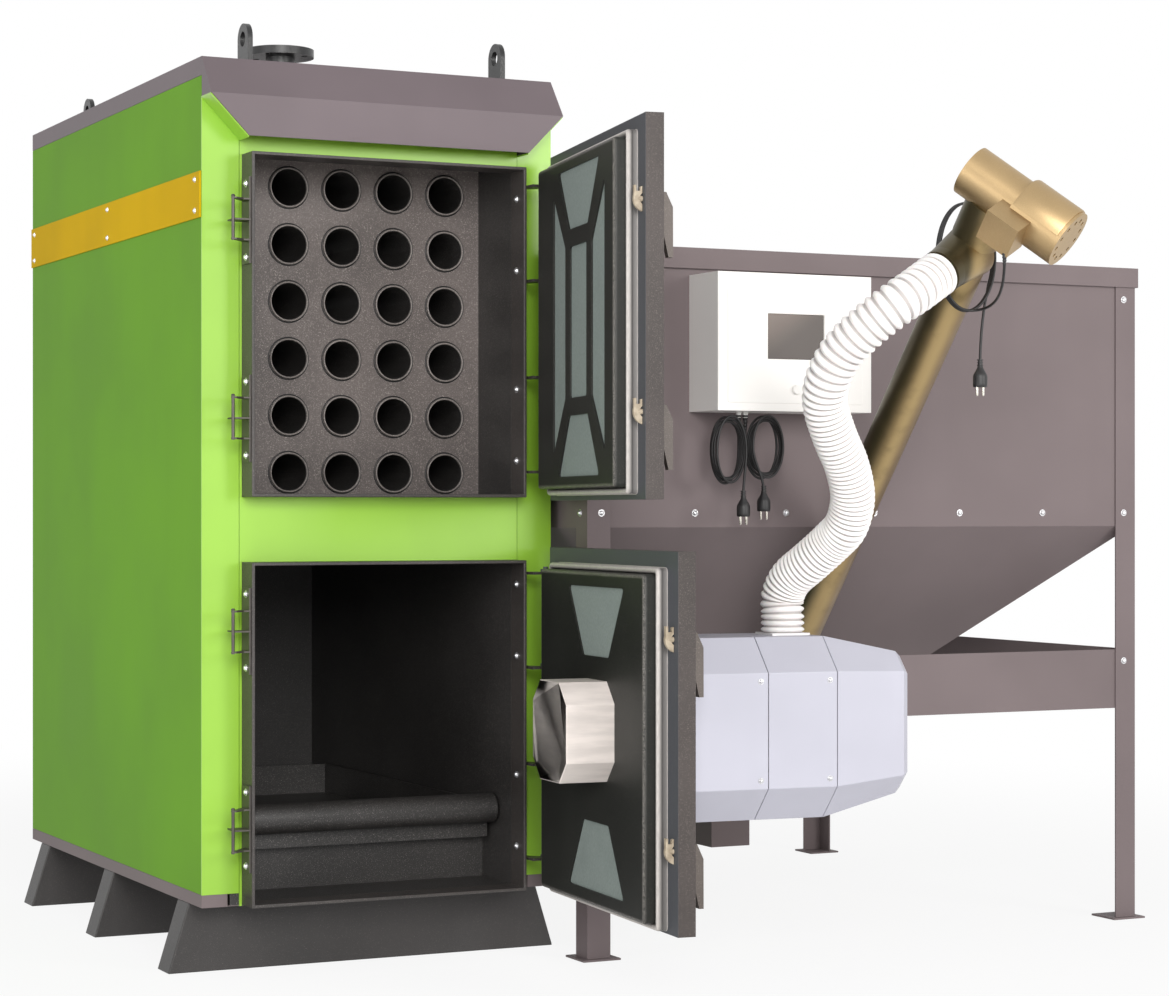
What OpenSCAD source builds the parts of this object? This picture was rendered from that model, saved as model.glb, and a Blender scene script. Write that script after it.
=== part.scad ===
// Pellet boiler with a burner on its lower door, a pellet hopper, an auger feed and a control box.
// The boiler stands on the floor at z = 0 and its doors face -Y. The hopper stands beside it at +X.
// The origin is on the floor, under the middle of the boiler.
// Doors are drawn shut and then swung open about their hinge pins. Lengths are in millimetres.

/* [Boiler casing] */
// Depth of the casing
body_d = 1200; // [1190:5:1300]
// Height of the roof's side skirt
skirt_h = 35; // [25:1:45]
// Thickness of the casing sheets
sheet_t = 3; // [2:0.5:4]
// Width of the narrow front sheets beside the doors
strip_w = 73; // [60:1:76]
// How far the visor and the door frames stand out
visor_out = 57; // [50:1:70]
// Height of the sloped band of the visor
visor_slope_h = 74; // [60:1:90]
// Height of the upright band of the visor
visor_band_h = 75; // [60:1:76]
// Height of the yellow side plate
band_h = 86; // [60:1:120]
// Drop from the roof to the middle of the yellow side plate
band_drop = 254; // [160:2:400]

/* [Base] */
// Height of the foot beams
foot_h = 130; // [100:2:160]
// Thickness of a foot beam
foot_t = 68; // [50:1:90]
// How far a foot beam spreads past the casing at the floor
foot_spread = 40; // [20:1:60]
// Distance from each end of the casing to the middle of the nearest foot beam
foot_inset = 110; // [100:5:180]
// Wall of a foot beam
foot_wall = 6; // [4:1:10]
// Height of the base rails
rail_h = 24; // [18:1:30]

/* [Door frames and chambers] */
// Outer width of a door frame
frame_w = 556; // [520:2:560]
// Outer height of a door frame
frame_h = 636; // [600:2:640]
// Wall of a door frame and of the chambers
frame_wall = 6; // [4:0.5:8]
// Width of the casing beside a door frame
frame_side = 78; // [76:1:96]
// Height between the two door frames
frame_space = 121; // [109:1:133]
// Height from the upper door frame to the roof
roof_space = 177; // [165:1:240]
// Depth behind the furnace for the smoke box
smoke_space = 92; // [87:5:197]
// Depth of the upper chamber in front of the tubes
upper_d = 157; // [120:1:300]
// Extra height of the upper chamber behind its frame
upper_raise = 25; // [10:1:26]
// Outer diameter of a fire tube
tube_d = 76; // [60:1:80]
// Wall of a fire tube
tube_wall = 3; // [2:0.5:4]

/* [Doors] */
// How far a door stands past its frame on the latch side
door_side = 44; // [20:1:48]
// How much taller a door is than its frame
door_over = 26; // [10:1:28]
// Depth of a door's folded shell
door_t = 33; // [25:1:40]
// Depth of the seal carrier
seal_d = 20; // [15:1:25]
// Depth of the inner plate beyond the seal carrier
tray_d = 20; // [15:1:30]
// How far the upper door stands open
upper_open = 79.3; // [0:0.1:90]
// How far the lower door stands open
lower_open = 84.65; // [0:0.05:88]
// Diameter of a hinge pin
hinge_pin_d = 10; // [8:0.5:12]

/* [Burner] */
// Width of the burner casing
burner_w = 280; // [260:2:300]
// Height of the burner casing
burner_h = 332; // [310:2:350]
// Chamfer of the burner casing
burner_cut = 62; // [40:1:70]
// Length of the casing section on the door
burner_l1 = 204; // [180:1:230]
// Length of the middle casing section
burner_l2 = 137; // [110:1:160]
// Length of the end casing section
burner_l3 = 152; // [120:1:180]
// Width of the nozzle
nozzle_w = 176; // [150:1:190]
// Height of the nozzle
nozzle_h = 180; // [160:1:200]
// How far the nozzle stands out of the inner plate
nozzle_out = 91; // [60:1:110]

/* [Hopper] */
// Width and depth of the hopper
hopper_w = 1295; // [1290:5:1400]
// Gap between the boiler and the hopper
hopper_gap = 15; // [15:1:60]
// Height of the lower edge of the side sheets
sheet_z = 831; // [780:1:900]
// Height of the lid's lower edge
lid_z = 1336; // [1320:1:1450]
// Height of the lid's skirt
lid_h = 41; // [30:1:60]
// Leg angle width
leg_w = 50; // [40:1:60]
// Leg angle thickness
leg_t = 4; // [3:0.5:6]
// Lower edge of the deep rails
band_rail_z = 446; // [400:2:500]
// Height of the deep rails
band_rail_h = 124; // [80:2:160]
// Width of the boot under the funnel
boot_w = 96; // [90:1:120]
// Top of the boot
boot_top_z = 288; // [270:1:320]
// Bottom of the boot
boot_z = 120; // [90:1:125]

/* [Auger] */
// Outer diameter of the auger tube
auger_d = 76; // [70:1:80]
// Wall of the auger tube
auger_wall = 2.5; // [2:0.5:4]
// Rise of the auger
auger_rise = 40.9; // [40:0.1:42]
// Turn of the auger towards the boiler
auger_turn = 9.2; // [6:0.1:10]
// Distance along the auger from the boot to the drive
auger_l = 1889; // [1850:1:1950]
// Distance from the spout back to the drive
spout_back = 145; // [135:1:160]
// Reach of the spout from the auger's axis
spout_l = 98; // [80:1:110]
// Pitch of the auger's flight
flight_pitch = 72; // [55:1:90]
// Diameter of the feed hose over its ribs
hose_d = 81; // [76:1:86]

/* [Controls] */
// Width of the control box
box_w = 344; // [300:2:380]
// Height of the control box
box_h = 267; // [220:1:300]
// Depth of the control box
box_d = 117; // [90:1:140]
// Diameter of the control knob
knob_d = 18; // [12:1:24]
// Diameter of a power cord
cord_d = 5; // [4:0.5:6]

/* [Hidden] */
$fn = 48;
// Clearance between faces that do not touch, and overrun of a cut
fit_gap = 0.3;
over = 1;

// Casing
floor_t = 2;
floor_z = foot_h + floor_t;
lower_z = floor_z;
frame_rise = frame_h + frame_space;
upper_z = lower_z + frame_rise;
body_w = frame_w + 2 * frame_side;
roof_z = upper_z + frame_h + roof_space;
band_z = roof_z - band_drop;
front_y = -body_d / 2;
rear_y = body_d / 2;
side_x = body_w / 2;
core_y = front_y + sheet_t;
nose_z = roof_z - visor_slope_h;
visor_z = nose_z - visor_band_h;
rail_w = 50;
band_t = 3;
foot_pitch = body_d / 2 - foot_inset;
seam_gap = 1;

// Frames and chambers
frame_out = visor_out;
frame_y = front_y - frame_out;
furnace_d = body_d - sheet_t - smoke_space;
jacket_t = 5;
jacket_w = body_w - 2 * rail_w - 2 * jacket_t - 2 * fit_gap;
jacket_y = core_y + furnace_d + frame_wall + jacket_t;
jacket_drop = 12;
jacket_top_z = roof_z - skirt_h - jacket_drop;
tube_sheet_t = 10;
tube_sheet_y = core_y + upper_d;
tube_proud = 3;
tube_cols = 4;
tube_rows = 6;
tube_left_share = 0.232;
tube_share = 0.196;
tube_first_x = -frame_w * tube_left_share;
tube_dx = frame_w * tube_share;
tube_low = 48.5;
tube_ends = 86;
tube_first_z = upper_z + tube_low;
tube_dz = (frame_h - tube_ends) / (tube_rows - 1);
chamber_z = upper_z + frame_h + upper_raise;

// Rear and top connections
flow_y = -35;
flange_d = 140;
flange_t = 16;
flange_bore = 54.5;
pipe_d = 60.3;
flange_pcd = 110;
flange_hole_d = 14;
flow_rise = 121;
flow_top_z = roof_z + flow_rise;
return_x = 180;
return_z = 330;
rear_out = 80;
flue_gap = 8;
spigot_d = 219;
spigot_t = 4;
spigot_drop = 220;
spigot_z = chamber_z - spigot_drop;
smoke_wall = 5;

// Lifting eyes
eye_w = 58;
eye_t = 10;
eye_hole_d = 28;
eye_hole_z = 44;
eye_side = 98;
eye_end = 75;
eye_x = side_x - eye_side;
eye_y = rear_y - eye_end;
eye_mid_y = -35;

// Door hardware. Places run from the hinge pin, with the door shut
pin_edge = 6;
pin_back = 11;
pin_out = 36;
pin_x = frame_w / 2 + pin_out;
door_w = frame_w + door_side + pin_out + pin_edge;
door_h = frame_h + door_over;
flange_y = frame_y - seal_d;
pin_y = flange_y + pin_back;
door_x1 = pin_x + pin_edge;
door_x0 = door_x1 - door_w;
door_y = flange_y - door_t;
upper_door_low = 6;
lower_door_low = 1;
upper_door_z = upper_z - upper_door_low;
lower_door_z = lower_z - lower_door_low;
shell_t = 3;
flange_lap = 85;
seal_w = 12;
seal_inset = 3;
tray_gap = 9;
tray_inset = frame_wall + tray_gap;
tray_x = frame_w / 2 - tray_inset;
window_x = -30;

bracket_drop = 134;
bracket_rise = frame_h / 2 - bracket_drop;
upper_bracket_shift = 6;
lower_bracket_shift = 18;
bracket_h = 187;
bracket_t = 5;
bracket_back = 20;
bracket_reach = 60;
bracket_y0 = pin_y + bracket_back;
bracket_y1 = pin_y + bracket_reach;
lug_t = 5;
lug_r = 10;
leaf_t = 5;

striker_drop = 135.5;
striker_rise = frame_h / 2 - striker_drop;
striker_shift = 9;
striker_h = 160;
striker_t = 4;
striker_x = -frame_w / 2 - striker_t;
striker_rod_d = 6;
striker_reach = 37;
striker_rod_deep = 7.5;
striker_rod_x = striker_x - striker_reach;
striker_rod_y = flange_y + striker_rod_deep;
striker_half = 37.5;
striker_lug_t = 3;
striker_lap = 32;
striker_far = 52;
striker_near = 12;
striker_deep = 17.5;
striker_y0 = front_y - striker_far;
striker_y1 = front_y - striker_near;
striker_mid_y = flange_y + striker_deep;

latch_in = 19;
latch_x = striker_rod_x + latch_in;
latch_pin_d = 10;
lever_w = 18;
lever_l = 100;
hook_t = 8;

// Ash pan
pan_gap = 5;
pan_in = 103;
pan_short = 211;
pan_y = core_y + pan_in;
pan_l = furnace_d - pan_short;
pan_t = 6;
pan_rise = 88;
pan_z = lower_z + pan_rise;
pan_rim_h = 70;
pan_step = 35;
pan_lip_r = 29;
pan_lip_rise = 59;
pan_lip_z = pan_z + pan_lip_rise;
pan_lip_out = 23;

// Burner, with the lower door shut
burner_x = -36;
burner_rise = 18;
burner_z = lower_z + frame_h / 2 + burner_rise;
burner_t = 2.5;
nozzle_cut = 38;
nozzle_t = 3;
nozzle_lap = 30;
nozzle_lap_cut = 18;
nozzle_tail = 60;
nozzle_back_y = door_y - nozzle_tail;
burner_y1 = door_y - burner_l1;
burner_y2 = burner_y1 - burner_l2;
burner_y3 = burner_y2 - burner_l3;
feed_rise = 37;
feed_z = burner_z + feed_rise;
feed_d = 66;
feed_t = 3;
feed_in = 20;
feed_y0 = burner_y2 + feed_in;
fan_drop = 88;
fan_z = burner_z - fan_drop;
fan_d = 124;
fan_w = 34;
fan_out = 60;
fan_y = burner_y1 - fan_out;
chassis_in = 12;
chassis_y = burner_y1 + chassis_in;
fan_blades = 14;
inlet_in = 92;
inlet_y = burner_y1 - inlet_in;
inlet_plate = 76;
inlet_plate_t = 4;
hose_bore_r = 34;
rib_sides = 8;
stub_r = hose_bore_r * cos(180 / rib_sides) - fit_gap;
stub_wall = 3;
stub_l = 18;

// Hopper
hopper_x0 = side_x + hopper_gap;
hopper_cx = hopper_x0 + hopper_w / 2;
hopper_ahead = 132;
hopper_y0 = front_y - hopper_ahead;
hopper_cy = hopper_y0 + hopper_w / 2;
foot_plate = 80;
foot_plate_t = 4;
foot_out = 15;
panel_t = 2;
lid_over = 5;
lid_t = 2;
boot_t = 4;
leg_drop = 8;
leg_top = lid_z + lid_h - lid_t - leg_drop;
bolt_rise = 28;
bolt_z = sheet_z + bolt_rise;
bolt_edge = 30;
bolt_count = 7;
leg_bolt_rise = 100;
leg_bolt_drop = 26;
leg_bolt_low_z = band_rail_z + leg_bolt_rise;
leg_bolt_top_z = lid_z - leg_bolt_drop;
lid_hinge_r = 6;
lid_hinge_w = 90;
lid_hinge_x = 400;
lid_pin_r = 2.5;
lid_arm_l = 40;

// Auger. Its frame starts in the boot and its Z axis runs up the tube
auger_z = 184;
screw_r = 12;
flight_gap = 2;
flight_r = auger_d / 2 - auger_wall - flight_gap;
flight_wedge = 22;
flight_sides = 4;
spout_angle = 218;
drive_angle = 308;
drive_r = 46;
drive_back = 60;
drive_front = 50;
motor_r = 52.5;
motor_end = 154;
collar_r = 45;
collar_l = 66;
spout_under = 0.5;
spout_r = hose_d / 2 - spout_under;
spout_bore_r = stub_r - stub_wall;
cone_more = 4;

// Control box
box_shift = 223.5;
box_x = hopper_x0 + box_shift;
box_drop = 280;
box_z = lid_z - box_drop;
box_t = 2;
box_panel_t = 3;
box_back_y = hopper_y0 + leg_t;
box_front_y = box_back_y - box_d;
box_margin = 20;
screen_in = 1;
screen_w = 126;
screen_h = 88;
screen_x = 110;
screen_z = 101;
knob_x = 171;
knob_z = 42;
gland_r = 6;
gland_l = 14;
gland_in = 45;
gland_y = box_front_y + gland_in;
plug_w = 26;
plug_h = 40;
plug_pin_d = 4.8;
plug_pin_l = 16;

// Heads of the domed screws
dome_top_share = 0.6;
dome_r = 7;
dome_h = 5;
small_dome_r = 5.5;
small_dome_h = 4;

// Helpers

// Square with chamfered corners, centred
module chamfered(w, h, cut) {
    polygon([
        [-w / 2 + cut, -h / 2], [w / 2 - cut, -h / 2], [w / 2, -h / 2 + cut], [w / 2, h / 2 - cut],
        [w / 2 - cut, h / 2], [-w / 2 + cut, h / 2], [-w / 2, h / 2 - cut], [-w / 2, -h / 2 + cut]
    ]);
}

// Box from its lowest and highest corners
module block(low, high) {
    translate(low) cube(high - low);
}

// Outline in X and Z, extruded from y0 back to y1
module upright(y0, y1) {
    translate([0, y1, 0]) rotate([90, 0, 0]) linear_extrude(y1 - y0) children();
}

// Bevelled screw head on a face whose outward normal is +Z
module dome(r, h) {
    cylinder(r1 = r, r2 = r * dome_top_share, h = h, $fn = 24);
}

// Swing a door's parts open about its hinge pins
module swing(angle) {
    translate([pin_x, pin_y, 0]) rotate([0, 0, angle]) translate([-pin_x, -pin_y, 0]) children();
}

function unit(v) = v / norm(v);
function bezier(p, t) = let (s = 1 - t)
    s * s * s * p[0] + 3 * s * s * t * p[1] + 3 * s * t * t * p[2] + t * t * t * p[3];
function total(v, i = 0) = i < len(v) ? v[i] + total(v, i + 1) : 0;

// Direction of a route at point i
function heading(p, i) = unit(p[min(i + 1, len(p) - 1)] - p[max(i - 1, 0)]);

// Ring of points round a route's point, kept level with a fixed reference direction
function ring(c, dir, ref, r, sides) = let (u = unit(cross(dir, ref)), v = cross(dir, u))
    [for (k = [0 : sides - 1]) c + r * (cos(360 * k / sides) * u + sin(360 * k / sides) * v)];

// Tube along a route, as one closed surface
module route_tube(p, r, ref, sides) {
    n = len(p);
    pts = [for (i = [0 : n - 1]) each ring(p[i], heading(p, i), ref, r, sides)];
    walls = [for (i = [0 : n - 2], k = [0 : sides - 1]) let (a = i * sides + k, b = i * sides + (k + 1) % sides)
        each [[a, a + sides, b], [b, a + sides, b + sides]]];
    start = [for (k = [1 : sides - 2]) [0, k, k + 1]];
    end = [for (k = [1 : sides - 2]) [(n - 1) * sides, (n - 1) * sides + k + 1, (n - 1) * sides + k]];
    polyhedron(points = pts, faces = concat(walls, start, end));
}

// Base

foot_ys = [-foot_pitch, 0, foot_pitch];

module foot_section(inset, right) {
    polygon([
        [-side_x - foot_spread + inset, 0], [side_x + right - inset, 0],
        [side_x - inset, foot_h - inset], [-side_x + inset, foot_h - inset]
    ]);
}

// Folded beam, open at the back and at the floor
module foot_beam(right) {
    difference() {
        upright(-foot_t / 2, foot_t / 2) foot_section(0, right);
        upright(-foot_t / 2 + foot_wall, foot_t / 2 + over) foot_section(foot_wall, right);
    }
}

// The rear beam ends short of the hopper's foot plate
module foot_beams() {
    rear_spread = min(foot_spread, hopper_gap - foot_out - seam_gap);
    color([0.23, 0.21, 0.2]) for (y = foot_ys) translate([0, y, 0]) foot_beam(y > 0 ? rear_spread : foot_spread);
}

module base_frame() {
    color([0.5, 0.45, 0.46]) {
        for (s = [-1, 1]) {
            block([s * side_x - (s > 0 ? rail_w : 0), front_y, foot_h],
                [s * side_x + (s > 0 ? 0 : rail_w), rear_y, foot_h + rail_h]);
        }
        block([-side_x + rail_w + fit_gap, jacket_y, foot_h],
            [side_x - rail_w - fit_gap, rear_y, foot_h + rail_h]);
        block([-side_x + rail_w + fit_gap, core_y, foot_h],
            [side_x - rail_w - fit_gap, jacket_y - fit_gap, floor_z]);
    }
}

// Casing

module side_sheet() {
    block([-side_x, front_y + sheet_t, foot_h + rail_h], [-side_x + sheet_t, rear_y, roof_z - skirt_h]);
}

module side_panels() {
    color([0.35, 0.6, 0.14]) {
        side_sheet();
        mirror([1, 0, 0]) side_sheet();
    }
}

module rear_panel() {
    color([0.35, 0.6, 0.14]) difference() {
        block([-side_x + sheet_t, rear_y - sheet_t, foot_h + rail_h],
            [side_x - sheet_t, rear_y, roof_z - skirt_h]);
        translate([0, rear_y + over, spigot_z]) rotate([90, 0, 0])
            cylinder(r = spigot_d / 2 + flue_gap, h = sheet_t + 2 * over);
        translate([return_x, rear_y + over, return_z]) rotate([90, 0, 0])
            cylinder(r = pipe_d / 2 + over, h = sheet_t + 2 * over);
    }
}

// Narrow sheet beside the doors, cut at 45 degrees under the visor's end, with its sloped return
module front_strip() {
    upright(front_y, front_y + sheet_t) polygon([
        [-side_x, foot_h + rail_h], [-side_x + strip_w - seam_gap, foot_h + rail_h],
        [-side_x + strip_w - seam_gap, visor_z + seam_gap], [-side_x, nose_z]
    ]);
    upright(front_y - visor_out + sheet_t, front_y) polygon([
        [-side_x, nose_z - sheet_t], [-side_x + strip_w, visor_z - sheet_t],
        [-side_x + strip_w, visor_z], [-side_x, nose_z]
    ]);
}

module front_panel() {
    inner = side_x - strip_w;
    upper_top = upper_z + frame_h;
    lower_top = lower_z + frame_h;
    color([0.6, 0.84, 0.42]) {
        front_strip();
        mirror([1, 0, 0]) front_strip();
        block([-inner, front_y, upper_top + fit_gap], [inner, core_y, roof_z - skirt_h]);
        block([-inner, front_y, lower_top + fit_gap], [inner, core_y, upper_z - fit_gap]);
        for (s = [-1, 1], span = [[foot_h, lower_top], [upper_z, upper_top]])
            block([min(s * inner, s * (frame_w / 2 + fit_gap)), front_y, span[0]],
                [max(s * inner, s * (frame_w / 2 + fit_gap)), core_y, span[1]]);
    }
}

// Side view of the roof and its visor, from its top edge to the visor's lower edge
module visor_profile(inset) {
    polygon([
        [0, roof_z - inset], [-visor_out + inset, nose_z - inset * 0.3], [-visor_out + inset, visor_z - over * inset],
        [0, visor_z - over * inset]
    ]);
}

module visor_front(inset) {
    upright(front_y - visor_out - over, front_y + over) polygon([
        [-side_x + inset, roof_z], [side_x - inset, roof_z], [side_x - inset, nose_z],
        [side_x - strip_w - inset, visor_z - inset], [-side_x + strip_w + inset, visor_z - inset],
        [-side_x + inset, nose_z]
    ]);
}

module visor_body(inset) {
    intersection() {
        translate([-side_x + inset, front_y, 0]) rotate([90, 0, 90])
            linear_extrude(body_w - 2 * inset) visor_profile(inset);
        visor_front(inset);
    }
}

module roof_cover() {
    color([0.5, 0.46, 0.46]) {
        difference() {
            block([-side_x, front_y, roof_z - skirt_h], [side_x, rear_y, roof_z]);
            block([-side_x + sheet_t, front_y + sheet_t, roof_z - skirt_h - over],
                [side_x - sheet_t, rear_y - sheet_t, roof_z - sheet_t]);
            translate([0, flow_y, roof_z - skirt_h])
                cylinder(r = pipe_d / 2 + over, h = skirt_h + over);
        }
        difference() {
            visor_body(0);
            visor_body(sheet_t);
        }
    }
}

module side_band_plate() {
    color([0.87, 0.7, 0.16]) block([-side_x - band_t, front_y + sheet_t, band_z - band_h / 2],
        [-side_x, rear_y, band_z + band_h / 2]);
}

// Bolts that hold the side plate, the strikers, the hinge brackets and the hopper
module panel_bolts() {
    band_ys = [front_y + bolt_edge, 0, rear_y - bolt_edge];
    color([0.8, 0.8, 0.8]) {
        for (y = band_ys, s = [-1, 1])
            translate([-side_x - band_t, y, band_z + s * band_h / 3]) rotate([0, -90, 0])
                dome(small_dome_r, small_dome_h);
        for (zc = striker_zs, s = [-1, 1]) {
            translate([striker_x, front_y - frame_out * 0.63, zc + s * striker_h * 0.425])
                rotate([0, -90, 0]) dome(dome_r, dome_h);
            translate([-frame_w / 2 + frame_wall, front_y - frame_out * 0.63, zc + s * striker_h * 0.425])
                rotate([0, 90, 0]) dome(small_dome_r, small_dome_h);
        }
        for (zc = bracket_zs, s = [-1, 1]) {
            translate([frame_w / 2 - frame_wall, front_y - frame_out * 0.42, zc + s * bracket_h * 0.37])
                rotate([0, -90, 0]) dome(dome_r, dome_h);
            translate([frame_w / 2 + bracket_t, front_y - frame_out * 0.42, zc + s * bracket_h * 0.37])
                rotate([0, 90, 0]) dome(small_dome_r, small_dome_h);
        }
        for (turn = [0 : 90 : 270]) translate([hopper_cx, hopper_cy, 0]) rotate([0, 0, turn]) {
            for (i = [1 : bolt_count - 2])
                translate([(i - (bolt_count - 1) / 2) * (hopper_w - 2 * bolt_edge) / (bolt_count - 1),
                    -hopper_w / 2 + leg_t, bolt_z]) rotate([90, 0, 0]) dome(dome_r, dome_h);
            for (s = [-1, 1], z = [leg_bolt_low_z, bolt_z, leg_bolt_top_z])
                translate([s * (hopper_w / 2 - bolt_edge), -hopper_w / 2, z]) rotate([90, 0, 0])
                    dome(dome_r, dome_h);
        }
    }
}

// Frames, chambers and the pressure body

module frame_ring(z0) {
    difference() {
        block([-frame_w / 2, frame_y, z0], [frame_w / 2, core_y, z0 + frame_h]);
        block([-frame_w / 2 + frame_wall, frame_y - over, z0 + frame_wall],
            [frame_w / 2 - frame_wall, core_y + over, z0 + frame_h - frame_wall]);
    }
}

module upper_door_frame() {
    color([0.24, 0.22, 0.21]) frame_ring(upper_z);
}

module lower_door_frame() {
    color([0.24, 0.22, 0.21]) frame_ring(lower_z);
}

module tube_grid() {
    for (i = [0 : tube_cols - 1], j = [0 : tube_rows - 1])
        translate([tube_first_x + i * tube_dx, 0, tube_first_z + j * tube_dz]) rotate([-90, 0, 0]) children();
}

// Steel vessel round the furnace and the gas chamber
module water_jacket() {
    flow_r = pipe_d / 2 + fit_gap;
    color([0.3, 0.3, 0.31]) difference() {
        block([-jacket_w / 2, core_y, floor_z], [jacket_w / 2, jacket_y, jacket_top_z]);
        block([-jacket_w / 2 + jacket_t, core_y + jacket_t, lower_z + jacket_t],
            [jacket_w / 2 - jacket_t, jacket_y - jacket_t, jacket_top_z - jacket_t]);
        block([-frame_w / 2, core_y - over, floor_z - over],
            [frame_w / 2, jacket_y - jacket_t, lower_z + frame_h]);
        block([-frame_w / 2, core_y - over, upper_z],
            [frame_w / 2, core_y + jacket_t + over, chamber_z]);
        block([-frame_w / 2 + frame_wall, jacket_y - jacket_t - over, upper_z + frame_wall],
            [frame_w / 2 - frame_wall, jacket_y + over, chamber_z - frame_wall]);
        translate([0, flow_y, jacket_top_z - jacket_t - over])
            cylinder(r = flow_r, h = jacket_t + 2 * over);
        translate([return_x, jacket_y + over, return_z]) rotate([90, 0, 0])
            cylinder(r = flow_r, h = jacket_t + 2 * over);
    }
}

// Furnace box with the step under its ash pan, and the gas chamber box
module chamber_walls() {
    back = core_y + furnace_d;
    inner = frame_w / 2 - frame_wall;
    color([0.16, 0.15, 0.15]) {
        difference() {
            block([-inner, pan_y + pan_step, lower_z + frame_wall], [inner, back, pan_z - fit_gap]);
            block([-inner + leg_w, pan_y + pan_step + frame_wall, lower_z], [inner - leg_w, back, pan_z]);
        }
        difference() {
            block([-frame_w / 2, core_y, lower_z], [frame_w / 2, back + frame_wall, lower_z + frame_h]);
            block([-frame_w / 2 + frame_wall, core_y - over, lower_z + frame_wall],
                [frame_w / 2 - frame_wall, back, lower_z + frame_h - frame_wall]);
        }
        difference() {
            block([-frame_w / 2, core_y, upper_z], [frame_w / 2, tube_sheet_y, chamber_z]);
            block([-frame_w / 2 + frame_wall, core_y + frame_wall, upper_z + frame_wall],
                [frame_w / 2 - frame_wall, tube_sheet_y + over, chamber_z - frame_wall]);
            block([-frame_w / 2 + frame_wall, core_y - over, upper_z + frame_wall],
                [frame_w / 2 - frame_wall, core_y + frame_wall + over, upper_z + frame_h - frame_wall]);
        }
    }
}

module tube_sheets() {
    color([0.2, 0.19, 0.19]) for (y = [tube_sheet_y, jacket_y]) difference() {
        block([-frame_w / 2, y, upper_z], [frame_w / 2, y + tube_sheet_t, chamber_z]);
        translate([0, y - over, 0]) tube_grid()
            cylinder(d = tube_d + fit_gap, h = tube_sheet_t + 2 * over);
    }
}

module fire_tubes() {
    y0 = tube_sheet_y - tube_proud;
    l = jacket_y + tube_sheet_t + tube_proud - y0;
    color([0.2, 0.19, 0.19]) translate([0, y0, 0]) tube_grid() difference() {
        cylinder(d = tube_d, h = l);
        translate([0, 0, -over]) cylinder(d = tube_d - 2 * tube_wall, h = l + 2 * over);
    }
}

module smoke_outlet() {
    y0 = jacket_y + tube_sheet_t;
    y1 = rear_y - sheet_t - fit_gap;
    color([0.2, 0.19, 0.19]) difference() {
        union() {
            block([-frame_w / 2, y0, upper_z], [frame_w / 2, y1, chamber_z]);
            translate([0, y1 - over, spigot_z]) rotate([-90, 0, 0])
                cylinder(d = spigot_d, h = rear_y + rear_out - y1 + over);
        }
        block([-frame_w / 2 + smoke_wall, y0 - over, upper_z + smoke_wall],
            [frame_w / 2 - smoke_wall, y1 - smoke_wall, chamber_z - smoke_wall]);
        translate([0, y0, spigot_z]) rotate([-90, 0, 0])
            cylinder(d = spigot_d - 2 * spigot_t, h = rear_y + rear_out - y0 + over);
    }
}

module lifting_eyes() {
    color([0.15, 0.15, 0.15]) for (x = [-eye_x, eye_x], s = [-1, 1])
        translate([x - eye_t / 2, eye_mid_y + s * eye_y, roof_z]) rotate([90, 0, 90]) linear_extrude(eye_t)
            difference() {
                union() {
                    translate([-eye_w / 2, 0]) square([eye_w, eye_hole_z]);
                    translate([0, eye_hole_z]) circle(d = eye_w);
                }
                translate([0, eye_hole_z]) circle(d = eye_hole_d);
            }
}

// Flanged pipe that runs down from its flange face at z = 0
module flanged_pipe(l) {
    difference() {
        union() {
            translate([0, 0, -flange_t]) cylinder(d = flange_d, h = flange_t);
            translate([0, 0, -l]) cylinder(d = pipe_d, h = l - flange_t);
        }
        translate([0, 0, -l - over]) cylinder(d = flange_bore, h = l + 2 * over);
        for (a = [45 : 90 : 315]) rotate([0, 0, a]) translate([flange_pcd / 2, 0, -flange_t - over])
            cylinder(d = flange_hole_d, h = flange_t + 2 * over);
    }
}

module water_flanges() {
    color([0.14, 0.14, 0.14]) {
        translate([0, flow_y, flow_top_z]) flanged_pipe(flow_top_z - jacket_top_z + jacket_t);
        translate([return_x, rear_y + rear_out, return_z]) rotate([-90, 0, 0])
            flanged_pipe(rear_y + rear_out - jacket_y + jacket_t);
    }
}

// Latch strikers and hinge brackets on the frames

frame_mids = [lower_z + frame_h / 2, upper_z + frame_h / 2];
striker_zs = [for (z = frame_mids, s = [-1, 1]) z + striker_shift + s * striker_rise];
bracket_zs = [
    frame_mids[0] + lower_bracket_shift - bracket_rise, frame_mids[0] + lower_bracket_shift + bracket_rise,
    frame_mids[1] + upper_bracket_shift - bracket_rise, frame_mids[1] + upper_bracket_shift + bracket_rise
];

// Outline of a striker's lug, from its strip out to the upright rod
module striker_lug() {
    r = striker_rod_d;
    polygon([
        [striker_x, striker_y0 + striker_lap], [striker_x, striker_mid_y], [striker_rod_x + 4 * r, striker_mid_y],
        [striker_rod_x + r, striker_rod_y - r / 2], [striker_rod_x - r / 2, striker_rod_y - r / 2],
        [striker_rod_x - r / 2, striker_rod_y + r / 2], [striker_rod_x + r, striker_rod_y + 2 * r]
    ]);
}

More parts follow.
